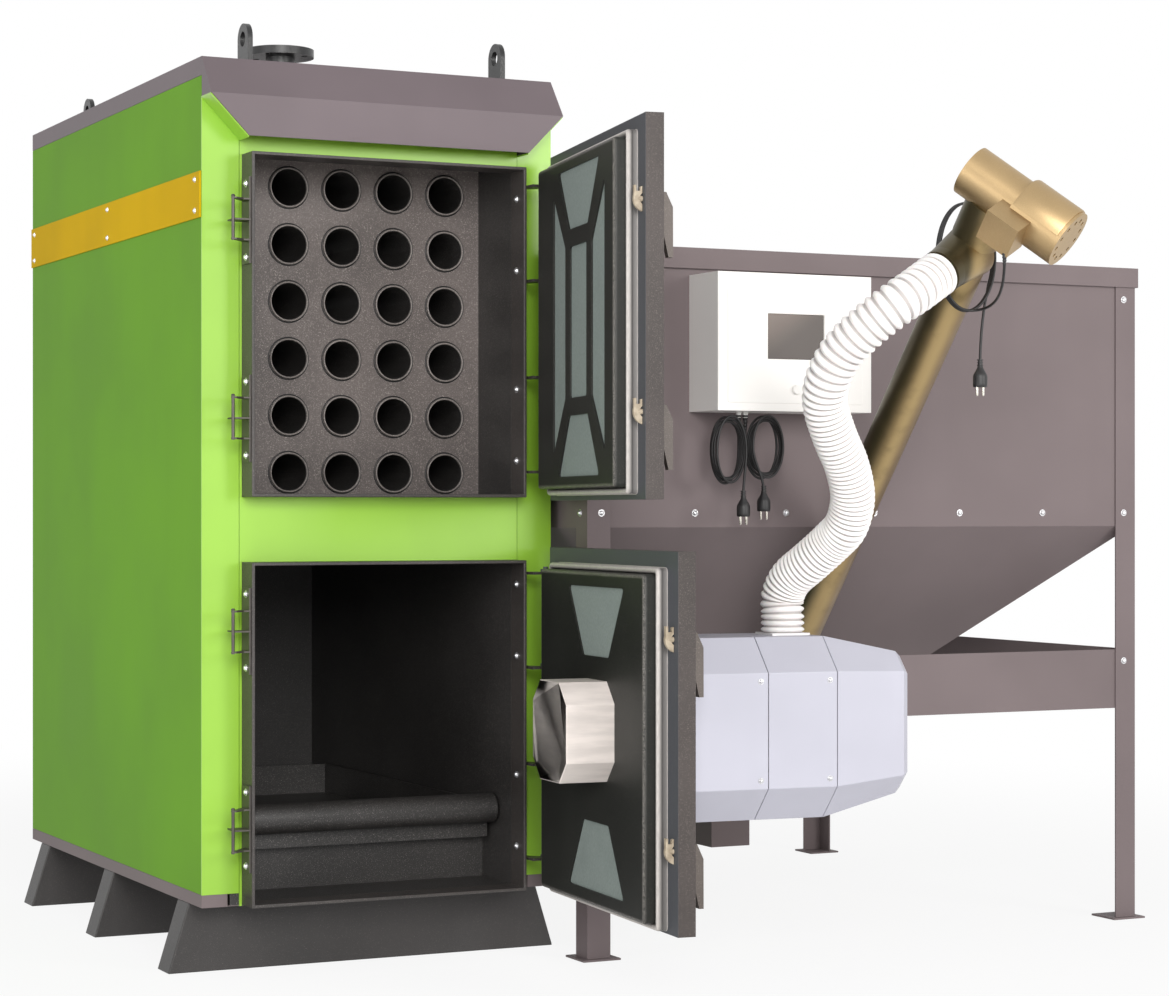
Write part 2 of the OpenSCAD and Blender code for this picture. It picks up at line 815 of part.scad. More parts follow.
module door_strikers() {
    color([0.25, 0.24, 0.23]) for (z = striker_zs) translate([0, 0, z]) {
        block([striker_x, striker_y0, -striker_h / 2], [striker_x + striker_t, striker_y1, striker_h / 2]);
        for (s = [-1, 1]) translate([0, 0, s * striker_half - striker_lug_t / 2])
            linear_extrude(striker_lug_t) striker_lug();
        block([striker_rod_x + striker_rod_d, striker_mid_y, -striker_lug_t / 2],
            [striker_x, striker_y0 + striker_lap, striker_lug_t / 2]);
        translate([striker_rod_x, striker_rod_y, -striker_half - striker_lug_t])
            cylinder(d = striker_rod_d, h = 2 * striker_half + 2 * striker_lug_t);
        translate([striker_rod_x, striker_rod_y, striker_half + striker_lug_t])
            dome(striker_rod_d * 0.7, striker_lug_t);
    }
}

module hinge_brackets() {
    half = bracket_h / 2;
    x0 = frame_w / 2;
    color([0.2, 0.19, 0.18]) for (z = bracket_zs) translate([0, 0, z]) {
        block([x0, bracket_y0, -half], [x0 + bracket_t, bracket_y1, half]);
        for (zl = [-half, half - lug_t]) translate([0, 0, zl]) linear_extrude(lug_t) difference() {
            union() {
                polygon([
                    [x0 + bracket_t - over, pin_y - lug_r], [pin_x, pin_y - lug_r], [pin_x, pin_y + lug_r],
                    [x0 + bracket_t - over, bracket_y1 - lug_r]
                ]);
                translate([pin_x, pin_y]) circle(r = lug_r);
            }
            translate([pin_x, pin_y]) circle(d = hinge_pin_d + 2 * fit_gap);
        }
    }
}

// Removable ash pan: a tray with a rolled lip to pull it by
module ash_pan() {
    x1 = frame_w / 2 - frame_wall - pan_gap;
    y1 = pan_y + pan_l;
    rim = pan_z + pan_rim_h;
    color([0.17, 0.16, 0.16]) {
        difference() {
            block([-x1, pan_y, pan_z], [x1, y1, rim]);
            block([-x1 + pan_t, pan_y + pan_t, pan_z + pan_t], [x1 - pan_t, y1 - pan_t, rim + over]);
        }
        difference() {
            translate([-x1, pan_y - pan_lip_out, pan_lip_z]) rotate([0, 90, 0])
                cylinder(r = pan_lip_r, h = 2 * x1);
            translate([-x1 + pan_t, pan_y - pan_lip_out, pan_lip_z]) rotate([0, 90, 0])
                cylinder(r = pan_lip_r - pan_t, h = 2 * (x1 - pan_t));
        }
    }
}

// Doors, drawn shut

// Hole through a door for a latch spindle
module spindle_hole(z) {
    translate([latch_x, flange_y + over, z]) rotate([90, 0, 0])
        cylinder(d = latch_pin_d + 2 * fit_gap, h = door_t + 2 * over);
}

// Hole through the lower door for the nozzle
module nozzle_hole() {
    translate([burner_x, 0, burner_z]) upright(door_y - over, flange_y + seal_d + tray_d + over)
        chamfered(nozzle_w + 2 * fit_gap, nozzle_h + 2 * fit_gap, nozzle_cut);
}

// Hinge leaf over a bracket lug, with its pin through the lug
module hinge_leaf(z) {
    translate([0, 0, z]) {
        translate([0, 0, fit_gap]) linear_extrude(leaf_t) {
            polygon([[pin_x - lug_r, flange_y], [door_x1, flange_y], [door_x1, pin_y], [pin_x - lug_r, pin_y]]);
            translate([pin_x, pin_y]) circle(r = lug_r);
        }
        translate([pin_x, pin_y, -lug_t - leaf_t]) cylinder(d = hinge_pin_d, h = lug_t + 3 * leaf_t);
    }
}

module door_shell(z0, latch_zs, leaf_zs, with_nozzle) {
    difference() {
        block([door_x0, door_y, z0], [door_x1, flange_y, z0 + door_h]);
        block([door_x0 + shell_t, door_y + shell_t, z0 + shell_t],
            [door_x1 - shell_t, flange_y - shell_t, z0 + door_h - shell_t]);
        block([door_x0 + flange_lap, flange_y - shell_t - over, z0 + flange_lap],
            [door_x1 - flange_lap, flange_y + over, z0 + door_h - flange_lap]);
        for (z = latch_zs) spindle_hole(z);
        if (with_nozzle) nozzle_hole();
    }
    for (z = leaf_zs) hinge_leaf(z);
}

// Insulation slab that fills the shell and the inner plate
module door_insulation(z0, frame_z, latch_zs, with_nozzle) {
    gap = shell_t + fit_gap;
    inset = tray_inset + gap;
    difference() {
        union() {
            block([door_x0 + gap, door_y + shell_t, z0 + gap],
                [door_x1 - gap, flange_y - gap, z0 + door_h - gap]);
            block([door_x0 + flange_lap + fit_gap, flange_y - gap - over, z0 + flange_lap + fit_gap],
                [door_x1 - flange_lap - fit_gap, flange_y + over, z0 + door_h - flange_lap - fit_gap]);
            block([-tray_x + gap, flange_y + fit_gap, frame_z + inset],
                [tray_x - gap, flange_y + seal_d + tray_d - gap, frame_z + frame_h - inset]);
        }
        for (z = latch_zs) spindle_hole(z);
        if (with_nozzle) nozzle_hole();
    }
}

// Rope-seal carrier that presses on the frame's edge
module door_seal(frame_z) {
    x1 = frame_w / 2 - seal_inset;
    z0 = frame_z + seal_inset;
    z1 = frame_z + frame_h - seal_inset;
    difference() {
        block([-x1, flange_y, z0], [x1, flange_y + seal_d - fit_gap, z1]);
        block([-tray_x, flange_y - over, frame_z + tray_inset],
            [tray_x, flange_y + seal_d + over, frame_z + frame_h - tray_inset]);
    }
}

// Trapezoid cut-out, wide end outwards
module end_window(s, near, far, near_half, far_half) {
    polygon([[-near_half, s * near], [near_half, s * near], [far_half, s * far], [-far_half, s * far]]);
}

// Inner plate: a pressed tray with cut-outs over the insulation
module door_plate(frame_z, with_nozzle) {
    y1 = flange_y + seal_d + tray_d;
    mid = frame_z + frame_h / 2;
    difference() {
        block([-tray_x, flange_y, frame_z + tray_inset], [tray_x, y1, frame_z + frame_h - tray_inset]);
        block([-tray_x + shell_t, flange_y - over, frame_z + tray_inset + shell_t],
            [tray_x - shell_t, y1 - shell_t, frame_z + frame_h - tray_inset - shell_t]);
        translate([window_x, 0, mid]) upright(y1 - shell_t - over, y1 + over) {
            if (with_nozzle) for (s = [-1, 1])
                end_window(s, lower_window_near, lower_window_far, window_in_half, window_far_half);
            else {
                for (s = [-1, 1]) end_window(s, window_near, window_far, window_in_half, window_far_half);
                square([2 * window_mid_half, 2 * window_mid_h], center = true);
                for (s = [-1, 1]) polygon([
                    [s * window_side_in, -window_mid_h], [s * window_side_in, window_mid_h],
                    [s * window_side_out, window_side_h], [s * window_side_out, -window_side_h]
                ]);
            }
        }
        if (with_nozzle) nozzle_hole();
    }
}

window_near_drop = 148;
window_far_drop = 37;
window_mid_drop = 180;
window_side_drop = 76;
lower_window_drop = 42;
lower_window_gap = 60;
window_far_gap = 139;
window_side_gap = 103;
window_in_half = 64;
window_mid_half = 56;
window_side_in = 89;
window_near = frame_h / 2 - window_near_drop;
window_far = frame_h / 2 - window_far_drop;
window_mid_h = frame_h / 2 - window_mid_drop;
window_side_h = frame_h / 2 - window_side_drop;
window_far_half = frame_w / 2 - window_far_gap;
window_side_out = frame_w / 2 - window_side_gap;
lower_window_near = nozzle_h / 2 + lower_window_gap;
lower_window_far = frame_h / 2 - lower_window_drop;

// Lever latch: an outside lever and an inside hook on one spindle. The free hook points up
// and turns to the side, behind the striker's rod, when the door is latched
module door_latch(z) {
    translate([latch_x, 0, z]) {
        translate([0, flange_y + hook_t, 0]) rotate([90, 0, 0])
            cylinder(d = latch_pin_d, h = door_t + 2 * hook_t);
        translate([-lever_w / 2, door_y, 0]) rotate([90, 0, 90]) linear_extrude(lever_w)
            polygon([
                [-fit_gap, lever_top], [-lever_rise, lever_top], [-lever_out, lever_bend],
                [-lever_out - fit_gap, -lever_l], [-lever_out + lever_rise, -lever_l], [-fit_gap, -lever_foot]
            ]);
        translate([-hook_t / 2, flange_y, 0]) rotate([90, 0, 90]) linear_extrude(hook_t) difference() {
            union() {
                intersection() {
                    translate([-hook_in, 0]) circle(r = hook_r);
                    translate([hook_gap, -hook_r]) square([hook_r, 2 * hook_r]);
                }
                translate([hook_slot_near, 0]) square([hook_deep - hook_slot_near, hook_r]);
            }
            translate([-hook_in, 0]) circle(r = hook_r - hook_band);
            translate([hook_slot_near, hook_root]) square([hook_slot_far - hook_slot_near, hook_r]);
        }
    }
}

lever_top = 12;
lever_rise = 8;
lever_out = 20;
lever_bend = -14;
lever_foot = 48;
hook_r = 23;
hook_in = 7;
hook_band = 11;
hook_gap = 0.5;
hook_deep = 15;
hook_slot_near = 4;
hook_slot_far = 11;
hook_root = 13;

lower_latch_zs = [striker_zs[0], striker_zs[1]];
upper_latch_zs = [striker_zs[2], striker_zs[3]];
leaf_offsets = [-bracket_h / 2 + lug_t, bracket_h / 2];
lower_leaf_zs = [for (i = [0, 1], o = leaf_offsets) bracket_zs[i] + o];
upper_leaf_zs = [for (i = [2, 3], o = leaf_offsets) bracket_zs[i] + o];

module upper_door_shell() {
    color([0.24, 0.22, 0.21]) swing(upper_open) door_shell(upper_door_z, upper_latch_zs, upper_leaf_zs, false);
}

module lower_door_shell() {
    color([0.24, 0.22, 0.21]) swing(lower_open) door_shell(lower_door_z, lower_latch_zs, lower_leaf_zs, true);
}

module upper_door_insulation() {
    color([0.46, 0.5, 0.49]) swing(upper_open)
        door_insulation(upper_door_z, upper_z, upper_latch_zs, false);
}

module lower_door_insulation() {
    color([0.46, 0.5, 0.49]) swing(lower_open)
        door_insulation(lower_door_z, lower_z, lower_latch_zs, true);
}

module upper_door_seal() {
    color([0.8, 0.8, 0.78]) swing(upper_open) door_seal(upper_z);
}

module lower_door_seal() {
    color([0.8, 0.8, 0.78]) swing(lower_open) door_seal(lower_z);
}

module upper_door_plate() {
    color([0.12, 0.12, 0.11]) swing(upper_open) door_plate(upper_z, false);
}

module lower_door_plate() {
    color([0.12, 0.12, 0.11]) swing(lower_open) door_plate(lower_z, true);
}

module upper_latch_top() {
    color([0.35, 0.32, 0.3]) swing(upper_open) door_latch(striker_zs[3]);
}

module upper_latch_bottom() {
    color([0.35, 0.32, 0.3]) swing(upper_open) door_latch(striker_zs[2]);
}

module lower_latch_top() {
    color([0.35, 0.32, 0.3]) swing(lower_open) door_latch(striker_zs[1]);
}

module lower_latch_bottom() {
    color([0.35, 0.32, 0.3]) swing(lower_open) door_latch(striker_zs[0]);
}

// Burner, drawn with the lower door shut

case_w = burner_w - 2 * burner_t;
case_h = burner_h - 2 * burner_t;
case_cut = burner_cut - burner_t * 0.59;

module in_burner() {
    swing(lower_open) translate([burner_x, 0, burner_z]) children();
}

module case_ring(y0, y1) {
    difference() {
        upright(y0, y1) chamfered(burner_w, burner_h, burner_cut);
        upright(y0 - over, y1 + over) chamfered(case_w, case_h, case_cut);
    }
}

module burner_nozzle() {
    y1 = flange_y + seal_d + tray_d + nozzle_out;
    color([0.8, 0.76, 0.74]) in_burner() difference() {
        union() {
            upright(nozzle_back_y, y1) chamfered(nozzle_w, nozzle_h, nozzle_cut);
            upright(door_y - 2 * nozzle_t, door_y) chamfered(nozzle_w + 2 * nozzle_lap,
                nozzle_h + 2 * nozzle_lap, nozzle_cut + nozzle_lap_cut);
        }
        upright(nozzle_back_y + nozzle_t, y1 + over) chamfered(nozzle_w - 2 * nozzle_t,
            nozzle_h - 2 * nozzle_t, nozzle_cut - nozzle_t * 0.59);
        translate([0, nozzle_back_y - over, feed_z - burner_z]) rotate([-90, 0, 0])
            cylinder(d = feed_d + fit_gap, h = nozzle_t + 2 * over);
    }
}

module burner_case_inner() {
    color([0.83, 0.83, 0.87]) in_burner() case_ring(burner_y1 + seam_gap / 2, door_y);
}

// Middle section, with the hole for pellets in its top
module burner_case_middle() {
    color([0.83, 0.83, 0.87]) in_burner() difference() {
        case_ring(burner_y2 + seam_gap / 2, burner_y1 - seam_gap / 2);
        translate([0, inlet_y, burner_h / 2 - burner_t - over])
            cylinder(r = stub_r - feed_t, h = burner_t + 2 * over);
    }
}

// End section: its top falls and its lower edge turns up towards the end
module end_form(inset) {
    hull() {
        translate([0, burner_y2 - seam_gap / 2 + inset, 0]) upright(-inset - over, 0)
            chamfered(burner_w - 2 * inset, burner_h - 2 * inset, burner_cut);
        translate([0, 0, -end_drop]) upright(burner_y3 + inset + end_round, burner_y3 + inset + end_round + over)
            chamfered(burner_w - 2 * end_in - 2 * inset, end_h - 2 * inset, end_cut + end_cut_more);
        translate([0, 0, -end_drop]) upright(burner_y3 + inset, burner_y3 + inset + over)
            chamfered(burner_w - 2 * end_in - 2 * end_round - 2 * inset, end_h - end_round * 1.6 - 2 * inset, end_cut);
    }
}

end_drop = -6;
end_in = 6;
end_h = 262;
end_cut = 30;
end_cut_more = 6;
end_round = 14;

module burner_case_outer() {
    color([0.83, 0.83, 0.87]) in_burner() difference() {
        end_form(0);
        end_form(burner_t);
    }
}

screw_in = 15;

// Casing screws on both sides, near each seam and near the end
module burner_screws() {
    screw_zs = [burner_h / 2 - burner_cut - screw_in, -burner_h / 2 + burner_cut + screw_in];
    screw_ys = [burner_y1 + screw_in, burner_y2 + screw_in];
    color([0.85, 0.85, 0.85]) in_burner() for (s = [-1, 1], z = screw_zs, y = screw_ys)
        translate([s * burner_w / 2, y, z]) rotate([0, s * 90, 0]) dome(small_dome_r, small_dome_h);
}

// Inner carrier: a cross plate, the feed tube with its chute, and the fan motor
module burner_chassis() {
    feed_dz = feed_z - burner_z;
    fan_dz = fan_z - burner_z;
    top = burner_h / 2 - burner_t;
    color([0.6, 0.6, 0.62]) in_burner() difference() {
        union() {
            upright(chassis_y, chassis_y + feed_t) chamfered(case_w, case_h, case_cut);
            translate([0, feed_y0, feed_dz]) rotate([-90, 0, 0])
                cylinder(d = feed_d, h = nozzle_back_y + nozzle_t - feed_y0);
            translate([0, inlet_y, feed_dz]) cylinder(r = stub_r, h = top - feed_dz);
            translate([0, chassis_y, fan_dz]) rotate([-90, 0, 0]) cylinder(d = fan_d * 0.55, h = fan_d * 0.7);
        }
        translate([0, feed_y0 - over, feed_dz]) rotate([-90, 0, 0])
            cylinder(d = feed_d - 2 * feed_t, h = nozzle_back_y + nozzle_t - feed_y0 + 2 * over);
        translate([0, inlet_y, feed_dz]) cylinder(r = stub_r - feed_t, h = top - feed_dz + over);
        translate([0, chassis_y - over, fan_dz]) rotate([-90, 0, 0])
            cylinder(r = shaft_r + fit_gap, h = fan_d * 0.5);
    }
}

shaft_r = 5;

module burner_fan() {
    fan_dz = fan_z - burner_z;
    color([0.3, 0.3, 0.32]) in_burner() translate([0, 0, fan_dz]) {
        translate([0, fan_y, 0]) rotate([-90, 0, 0]) {
            cylinder(r = shaft_r, h = chassis_y - fan_y + fan_d * 0.4);
            cylinder(r = 3 * shaft_r, h = fan_w);
            cylinder(d = fan_d, h = feed_t);
            for (a = [0 : 360 / fan_blades : 359]) rotate([0, 0, a])
                translate([2.5 * shaft_r, -feed_t / 4, feed_t / 2])
                    cube([fan_d / 2 - 2.5 * shaft_r - feed_t, feed_t / 2, fan_w - feed_t]);
        }
    }
}

// Unit flight: a wedge of the pitch swept round the shaft
module flight(inner, outer, pitch, l, wedge, steps) {
    slack = inner / cos(180 / steps) + fit_gap / 3;
    linear_extrude(height = l, twist = -360 * l / pitch, slices = ceil(steps * l / pitch), $fn = flight_sides)
        polygon([
            [slack, 0], [outer, 0], [outer * cos(wedge), outer * sin(wedge)],
            [slack * cos(wedge), slack * sin(wedge)]
        ]);
}

feed_shaft_r = 8;
feed_pitch = 45;
feed_steps = 10;

module feed_screw() {
    l = nozzle_back_y - feed_y0 - 2 * feed_t;
    color([0.55, 0.55, 0.57]) in_burner() translate([0, feed_y0 + feed_t, feed_z - burner_z])
        rotate([-90, 0, 0]) {
            cylinder(r = feed_shaft_r, h = l);
            translate([0, 0, feed_t]) flight(feed_shaft_r, feed_d / 2 - feed_t - fit_gap, feed_pitch,
                l - 2 * feed_t, flight_wedge, feed_steps);
        }
}

module hose_inlet() {
    top = burner_h / 2;
    color([0.72, 0.72, 0.74]) in_burner() translate([0, inlet_y, top]) difference() {
        union() {
            translate([-inlet_plate / 2, -inlet_plate / 2, 0]) cube([inlet_plate, inlet_plate, inlet_plate_t]);
            cylinder(r = stub_r, h = inlet_plate_t + stub_l);
        }
        translate([0, 0, -over]) cylinder(r = stub_r - feed_t, h = inlet_plate_t + stub_l + 2 * over);
    }
}

// Hopper

module at_hopper() {
    translate([hopper_cx, hopper_cy, 0]) children();
}

module hopper_stand() {
    h = hopper_w / 2;
    rail_top = band_rail_z + band_rail_h;
    color([0.5, 0.45, 0.46]) at_hopper() for (turn = [0 : 90 : 270]) rotate([0, 0, turn]) {
        translate([-h, -h, foot_plate_t]) {
            cube([leg_w, leg_t, leg_top - foot_plate_t]);
            cube([leg_t, leg_w, leg_top - foot_plate_t]);
        }
        translate([-h - foot_out, -h - foot_out, 0]) cube([foot_plate, foot_plate, foot_plate_t]);
        block([-h + leg_w + fit_gap, -h + leg_t, band_rail_z], [h - leg_w - fit_gap, -h + 2 * leg_t, rail_top]);
        block([-h + leg_t, -h + leg_t, band_rail_z], [-h + leg_w + fit_gap, -h + 2 * leg_t, rail_top]);
        block([h - leg_w - fit_gap, -h + leg_t, band_rail_z], [h - 2 * leg_t, -h + 2 * leg_t, rail_top]);
    }
    color([0.5, 0.45, 0.46]) at_hopper() at_lid_hinges() lid_knuckle();
}

module hopper_panels() {
    h = hopper_w / 2 - leg_t;
    color([0.5, 0.46, 0.47]) at_hopper() for (turn = [0 : 90 : 270]) rotate([0, 0, turn])
        block([-h, -h, sheet_z], [h - panel_t - fit_gap, -h + panel_t, lid_z + lid_h / 3]);
}

// Four sloped sheets from the side sheets down to the boot, with a seam at each corner
module hopper_funnel() {
    h = hopper_w / 2 - leg_t;
    b = boot_w / 2;
    g = fit_gap;
    color([0.36, 0.32, 0.34]) at_hopper() for (turn = [0 : 90 : 270]) rotate([0, 0, turn])
        polyhedron(
            points = [
                [-h + g, -h, sheet_z], [h - g, -h, sheet_z],
                [b - g, -b, boot_top_z], [-b + g, -b, boot_top_z],
                [-h + panel_t + g, -h + panel_t, sheet_z], [h - panel_t - g, -h + panel_t, sheet_z],
                [b - panel_t - g, -b + panel_t, boot_top_z], [-b + panel_t + g, -b + panel_t, boot_top_z]
            ],
            faces = [[0, 1, 2, 3], [7, 6, 5, 4], [4, 5, 1, 0], [3, 2, 6, 7], [0, 3, 7, 4], [1, 5, 6, 2]]
        );
}

module in_auger() {
    translate([hopper_cx, hopper_cy, auger_z]) rotate([90 - auger_rise, 0, -auger_turn]) children();
}

module boot_space() {
    b = boot_w / 2 - boot_t;
    at_hopper() block([-b, -b, boot_z + boot_t], [b, b, boot_top_z + over]);
}

module hopper_boot() {
    b = boot_w / 2;
    color([0.34, 0.31, 0.32]) difference() {
        at_hopper() block([-b, -b, boot_z], [b, b, boot_top_z]);
        boot_space();
        in_auger() cylinder(d = auger_d + fit_gap, h = 3 * boot_w);
    }
}

// The two lid hinges at the back, with Z along their pins
module at_lid_hinges() {
    for (s = [-1, 1]) translate([s * lid_hinge_x - lid_hinge_w / 2,
        hopper_w / 2 + lid_over + lid_hinge_r, lid_z + lid_hinge_r]) rotate([0, 90, 0]) children();
}

// Fixed half of a lid hinge: a knuckle with the pin, on an arm from the rear sheet
module lid_knuckle() {
    w = 3 * leg_t;
    r = lid_hinge_r - lid_t / 2;
    back = lid_over + lid_hinge_r + leg_t;
    translate([0, 0, -w - fit_gap]) {
        cylinder(r = r, h = w);
        cylinder(r = lid_pin_r, h = w + lid_hinge_w / 2);
        translate([0, -lid_t, 0]) cube([lid_arm_l, r + lid_t, w]);
        translate([lid_arm_l - w, -back, 0]) cube([w, back + r, w]);
    }
}

module hopper_lid() {
    h = hopper_w / 2 + lid_over;
    top = lid_z + lid_h;
    color([0.5, 0.46, 0.47]) at_hopper() {
        difference() {
            block([-h, -h, lid_z], [h, h, top]);
            block([-h + lid_t, -h + lid_t, lid_z - over], [h - lid_t, h - lid_t, top - lid_t]);
        }
        at_lid_hinges() difference() {
            union() {
                cylinder(r = lid_hinge_r, h = lid_hinge_w);
                translate([-lid_hinge_r, -lid_hinge_r, 0]) cube([lid_hinge_r, lid_hinge_r, lid_hinge_w]);
            }
            translate([0, 0, -over]) cylinder(r = lid_pin_r + fit_gap, h = lid_hinge_w + 2 * over);
        }
    }
}

// Auger

module auger_tube() {
    spout_z = auger_l - spout_back;
    color([0.69, 0.58, 0.39]) difference() {
        in_auger() difference() {
            union() {
                cylinder(d = auger_d, h = auger_l);
                translate([0, 0, auger_l - drive_r - collar_l]) cylinder(r = collar_r, h = collar_l + drive_r / 2);
                translate([0, 0, spout_z]) rotate([0, 0, spout_angle]) rotate([0, 90, 0]) {
                    cylinder(r = spout_r, h = spout_l);
                    cylinder(r = stub_r, h = spout_l + stub_l);
                    cylinder(r1 = collar_r + cone_more, r2 = spout_r, h = spout_l * 0.8);
                }
            }
            translate([0, 0, -over]) cylinder(d = auger_d - 2 * auger_wall, h = auger_l + 2 * over);
            translate([0, 0, spout_z]) rotate([0, 0, spout_angle]) rotate([0, 90, 0])
                cylinder(r = spout_bore_r, h = spout_l + stub_l + over);
            at_drive() translate([0, 0, -2 * drive_back]) cylinder(r = drive_r, h = 4 * drive_back);
        }
        boot_space();
    }
}

module at_drive() {
    translate([0, 0, auger_l]) rotate([0, 0, drive_angle]) rotate([0, 90, 0]) children();
}

// Geared motor across the head of the auger
module auger_drive() {
    color([0.69, 0.58, 0.39]) difference() {
        in_auger() difference() {
            at_drive() {
                translate([0, 0, -drive_back]) cylinder(r = drive_r, h = drive_back + drive_front);
                translate([0, 0, drive_front]) cylinder(r = motor_r, h = motor_end - drive_front);
                translate(terminal_low) cube(terminal_size);
            }
            translate([0, 0, auger_l - 2 * drive_r]) cylinder(r = screw_r + fit_gap, h = 2 * drive_r);
            at_drive() translate([0, 0, motor_end - vent_deep]) for (i = [0 : vent_count - 1])
                rotate([0, 0, i * 360 / vent_count]) translate([motor_r * 0.72, 0, 0])
                    cylinder(r = vent_r, h = vent_deep + over);
        }
        translate(lead_from) cylinder(d = cord_d + fit_gap, h = lead_drop + over);
    }
}

terminal_size = [62, 48, 66];
terminal_low = [-22, -88, 30];
vent_count = 12;
vent_r = 4;
vent_deep = 6;

module auger_screw() {
    low = -20;
    color([0.6, 0.6, 0.6]) in_auger() {
        translate([0, 0, low - 2 * screw_r]) cylinder(r = screw_r, h = auger_l - low + 2 * screw_r);
        translate([0, 0, low]) flight(screw_r, flight_r, flight_pitch, auger_l - spout_back - low + hose_d / 4,
            flight_wedge, 12);
    }
}

// Level directions along and across the auger, and the spout's place on its axis
auger_dir = [sin(auger_turn) * -1, -cos(auger_turn), 0];
auger_across = [cos(auger_turn), -sin(auger_turn), 0];
spout_at = [hopper_cx, hopper_cy, auger_z] + (auger_l - spout_back) * [
    -sin(auger_turn) * cos(auger_rise), -cos(auger_turn) * cos(auger_rise), sin(auger_rise)];

// Feed hose: straight out of the spout, round two bends and straight down on the inlet
spout_dir = let (c = cos(spout_angle), d = sin(spout_angle), up = sin(auger_rise), t = auger_turn)
    [c * cos(t) + d * up * sin(t), -c * sin(t) + d * up * cos(t), d * cos(auger_rise)];
hose_start = spout_at + spout_l * spout_dir;
hose_end = let (c = cos(lower_open), d = sin(lower_open), x = burner_x - pin_x, y = inlet_y - pin_y)
    [pin_x + x * c - y * d, pin_y + x * d + y * c, burner_z + burner_h / 2 + inlet_plate_t + fit_gap];
hose_straight = 40;
hose_first = [for (i = [0 : 2]) i * hose_straight * spout_dir];
hose_mid = [
    [-104, -20, -60], [-142, 10, -97], [-168, 47, -137], [-178, 80, -182], [-168, 110, -227],
    [-136, 132, -282], [-96, 154, -337], [-68, 180, -392], [-60, 214, -442]
];
hose_last = [[40, -112, 170], [20, -66, 132], [5, -22, 100], [0, 0, 66], [0, 0, 33], [0, 0, 0]];
hose_points = concat([for (d = hose_first) hose_start + d], [for (d = hose_mid) hose_start + d],
    [for (d = hose_last) hose_end + d]);
hose_ref = [0.5, 0.86, 0];
rib_count = 66;
rib_deep = 5;

// Smooth point of a route through its points, t from 0 to the last point's number
function route_at(p, t) = let (i = min(floor(t), len(p) - 2), f = t - i,
    a = p[max(i - 1, 0)], b = p[i], c = p[i + 1], d = p[min(i + 2, len(p) - 1)])
    0.5 * (2 * b + (c - a) * f + (2 * a - 5 * b + 4 * c - d) * f * f + (3 * b - a - 3 * c + d) * f * f * f);

module feed_hose() {
    steps = 2 * rib_count;
    p = [for (i = [0 : steps]) route_at(hose_points, i * (len(hose_points) - 1) / steps)];
    outer = [for (i = [0 : steps]) each
        ring(p[i], heading(p, i), hose_ref, hose_d / 2 - (i % 2 == 0 ? 0 : rib_deep), rib_sides)];
    bore = [for (i = [0 : 2 : steps]) each ring(p[i], heading(p, i), hose_ref, hose_bore_r, rib_sides)];
    n = rib_sides;
    m = len(outer);
    rows = rib_count;
    walls = [for (i = [0 : steps - 1], k = [0 : n - 1]) let (a = i * n + k, b = i * n + (k + 1) % n)
        each [[a, a + n, b], [b, a + n, b + n]]];
    inside = [for (i = [0 : rows - 1], k = [0 : n - 1]) let (a = m + i * n + k, b = m + i * n + (k + 1) % n)
        each [[a, b, a + n], [b, b + n, a + n]]];
    first = [for (k = [0 : n - 1]) let (j = (k + 1) % n) each [[k, j, m + k], [j, m + j, m + k]]];
    last = [for (k = [0 : n - 1]) let (j = (k + 1) % n, a = steps * n, b = m + rows * n)
        each [[a + k, b + k, a + j], [a + j, b + k, b + j]]];
    color([0.92, 0.92, 0.92]) polyhedron(points = concat(outer, bore), faces = concat(walls, inside, first, last));
}

// Controls

module control_case() {
    x1 = box_x + box_w;
    z1 = box_z + box_h;
    y0 = box_front_y + box_panel_t;
    color([0.92, 0.92, 0.9]) {
        difference() {
            block([box_x, y0, box_z], [x1, box_back_y, z1]);
            block([box_x + box_t, y0 - over, box_z + box_t], [x1 - box_t, box_back_y - box_t, z1 - box_t]);
        }
        for (x = gland_xs) translate([x, gland_y, box_z - gland_l]) difference() {
            cylinder(r1 = gland_r * 0.75, r2 = gland_r, h = gland_l);
            translate([0, 0, -over]) cylinder(d = cord_d + fit_gap, h = gland_l + 2 * over);
        }
    }
}

// Door of the control box, with a window for the display behind it
module control_panel() {
    color([0.95, 0.95, 0.94]) {
        difference() {
            block([box_x, box_front_y, box_z], [box_x + box_w, box_front_y + box_panel_t, box_z + box_h]);
            block([box_x + screen_x, box_front_y - over, box_z + screen_z],
                [box_x + screen_x + screen_w, box_front_y + box_panel_t + over, box_z + screen_z + screen_h]);
            translate([box_x + knob_x, box_front_y - over, box_z + knob_z]) rotate([-90, 0, 0])
                cylinder(d = knob_d / 3 + fit_gap, h = box_panel_t + 2 * over);
        }
    }
}

module control_display() {
    g = fit_gap;
    color([0.43, 0.39, 0.36]) block([box_x + screen_x + g, box_front_y + screen_in, box_z + screen_z + g],
        [box_x + screen_x + screen_w - g, box_front_y + 2 * box_panel_t, box_z + screen_z + screen_h - g]);
}

module control_knob() {
    color([0.95, 0.95, 0.94]) translate([box_x + knob_x, box_front_y - fit_gap, box_z + knob_z])
        rotate([90, 0, 0]) {
            cylinder(d = knob_d, h = knob_d / 2);
            translate([0, 0, -box_panel_t - 2 * fit_gap]) cylinder(d = knob_d / 3, h = box_panel_t + 2 * fit_gap);
        }
}

// Cords. Each is one tube: a straight lead, its turns, and a straight end in its plug

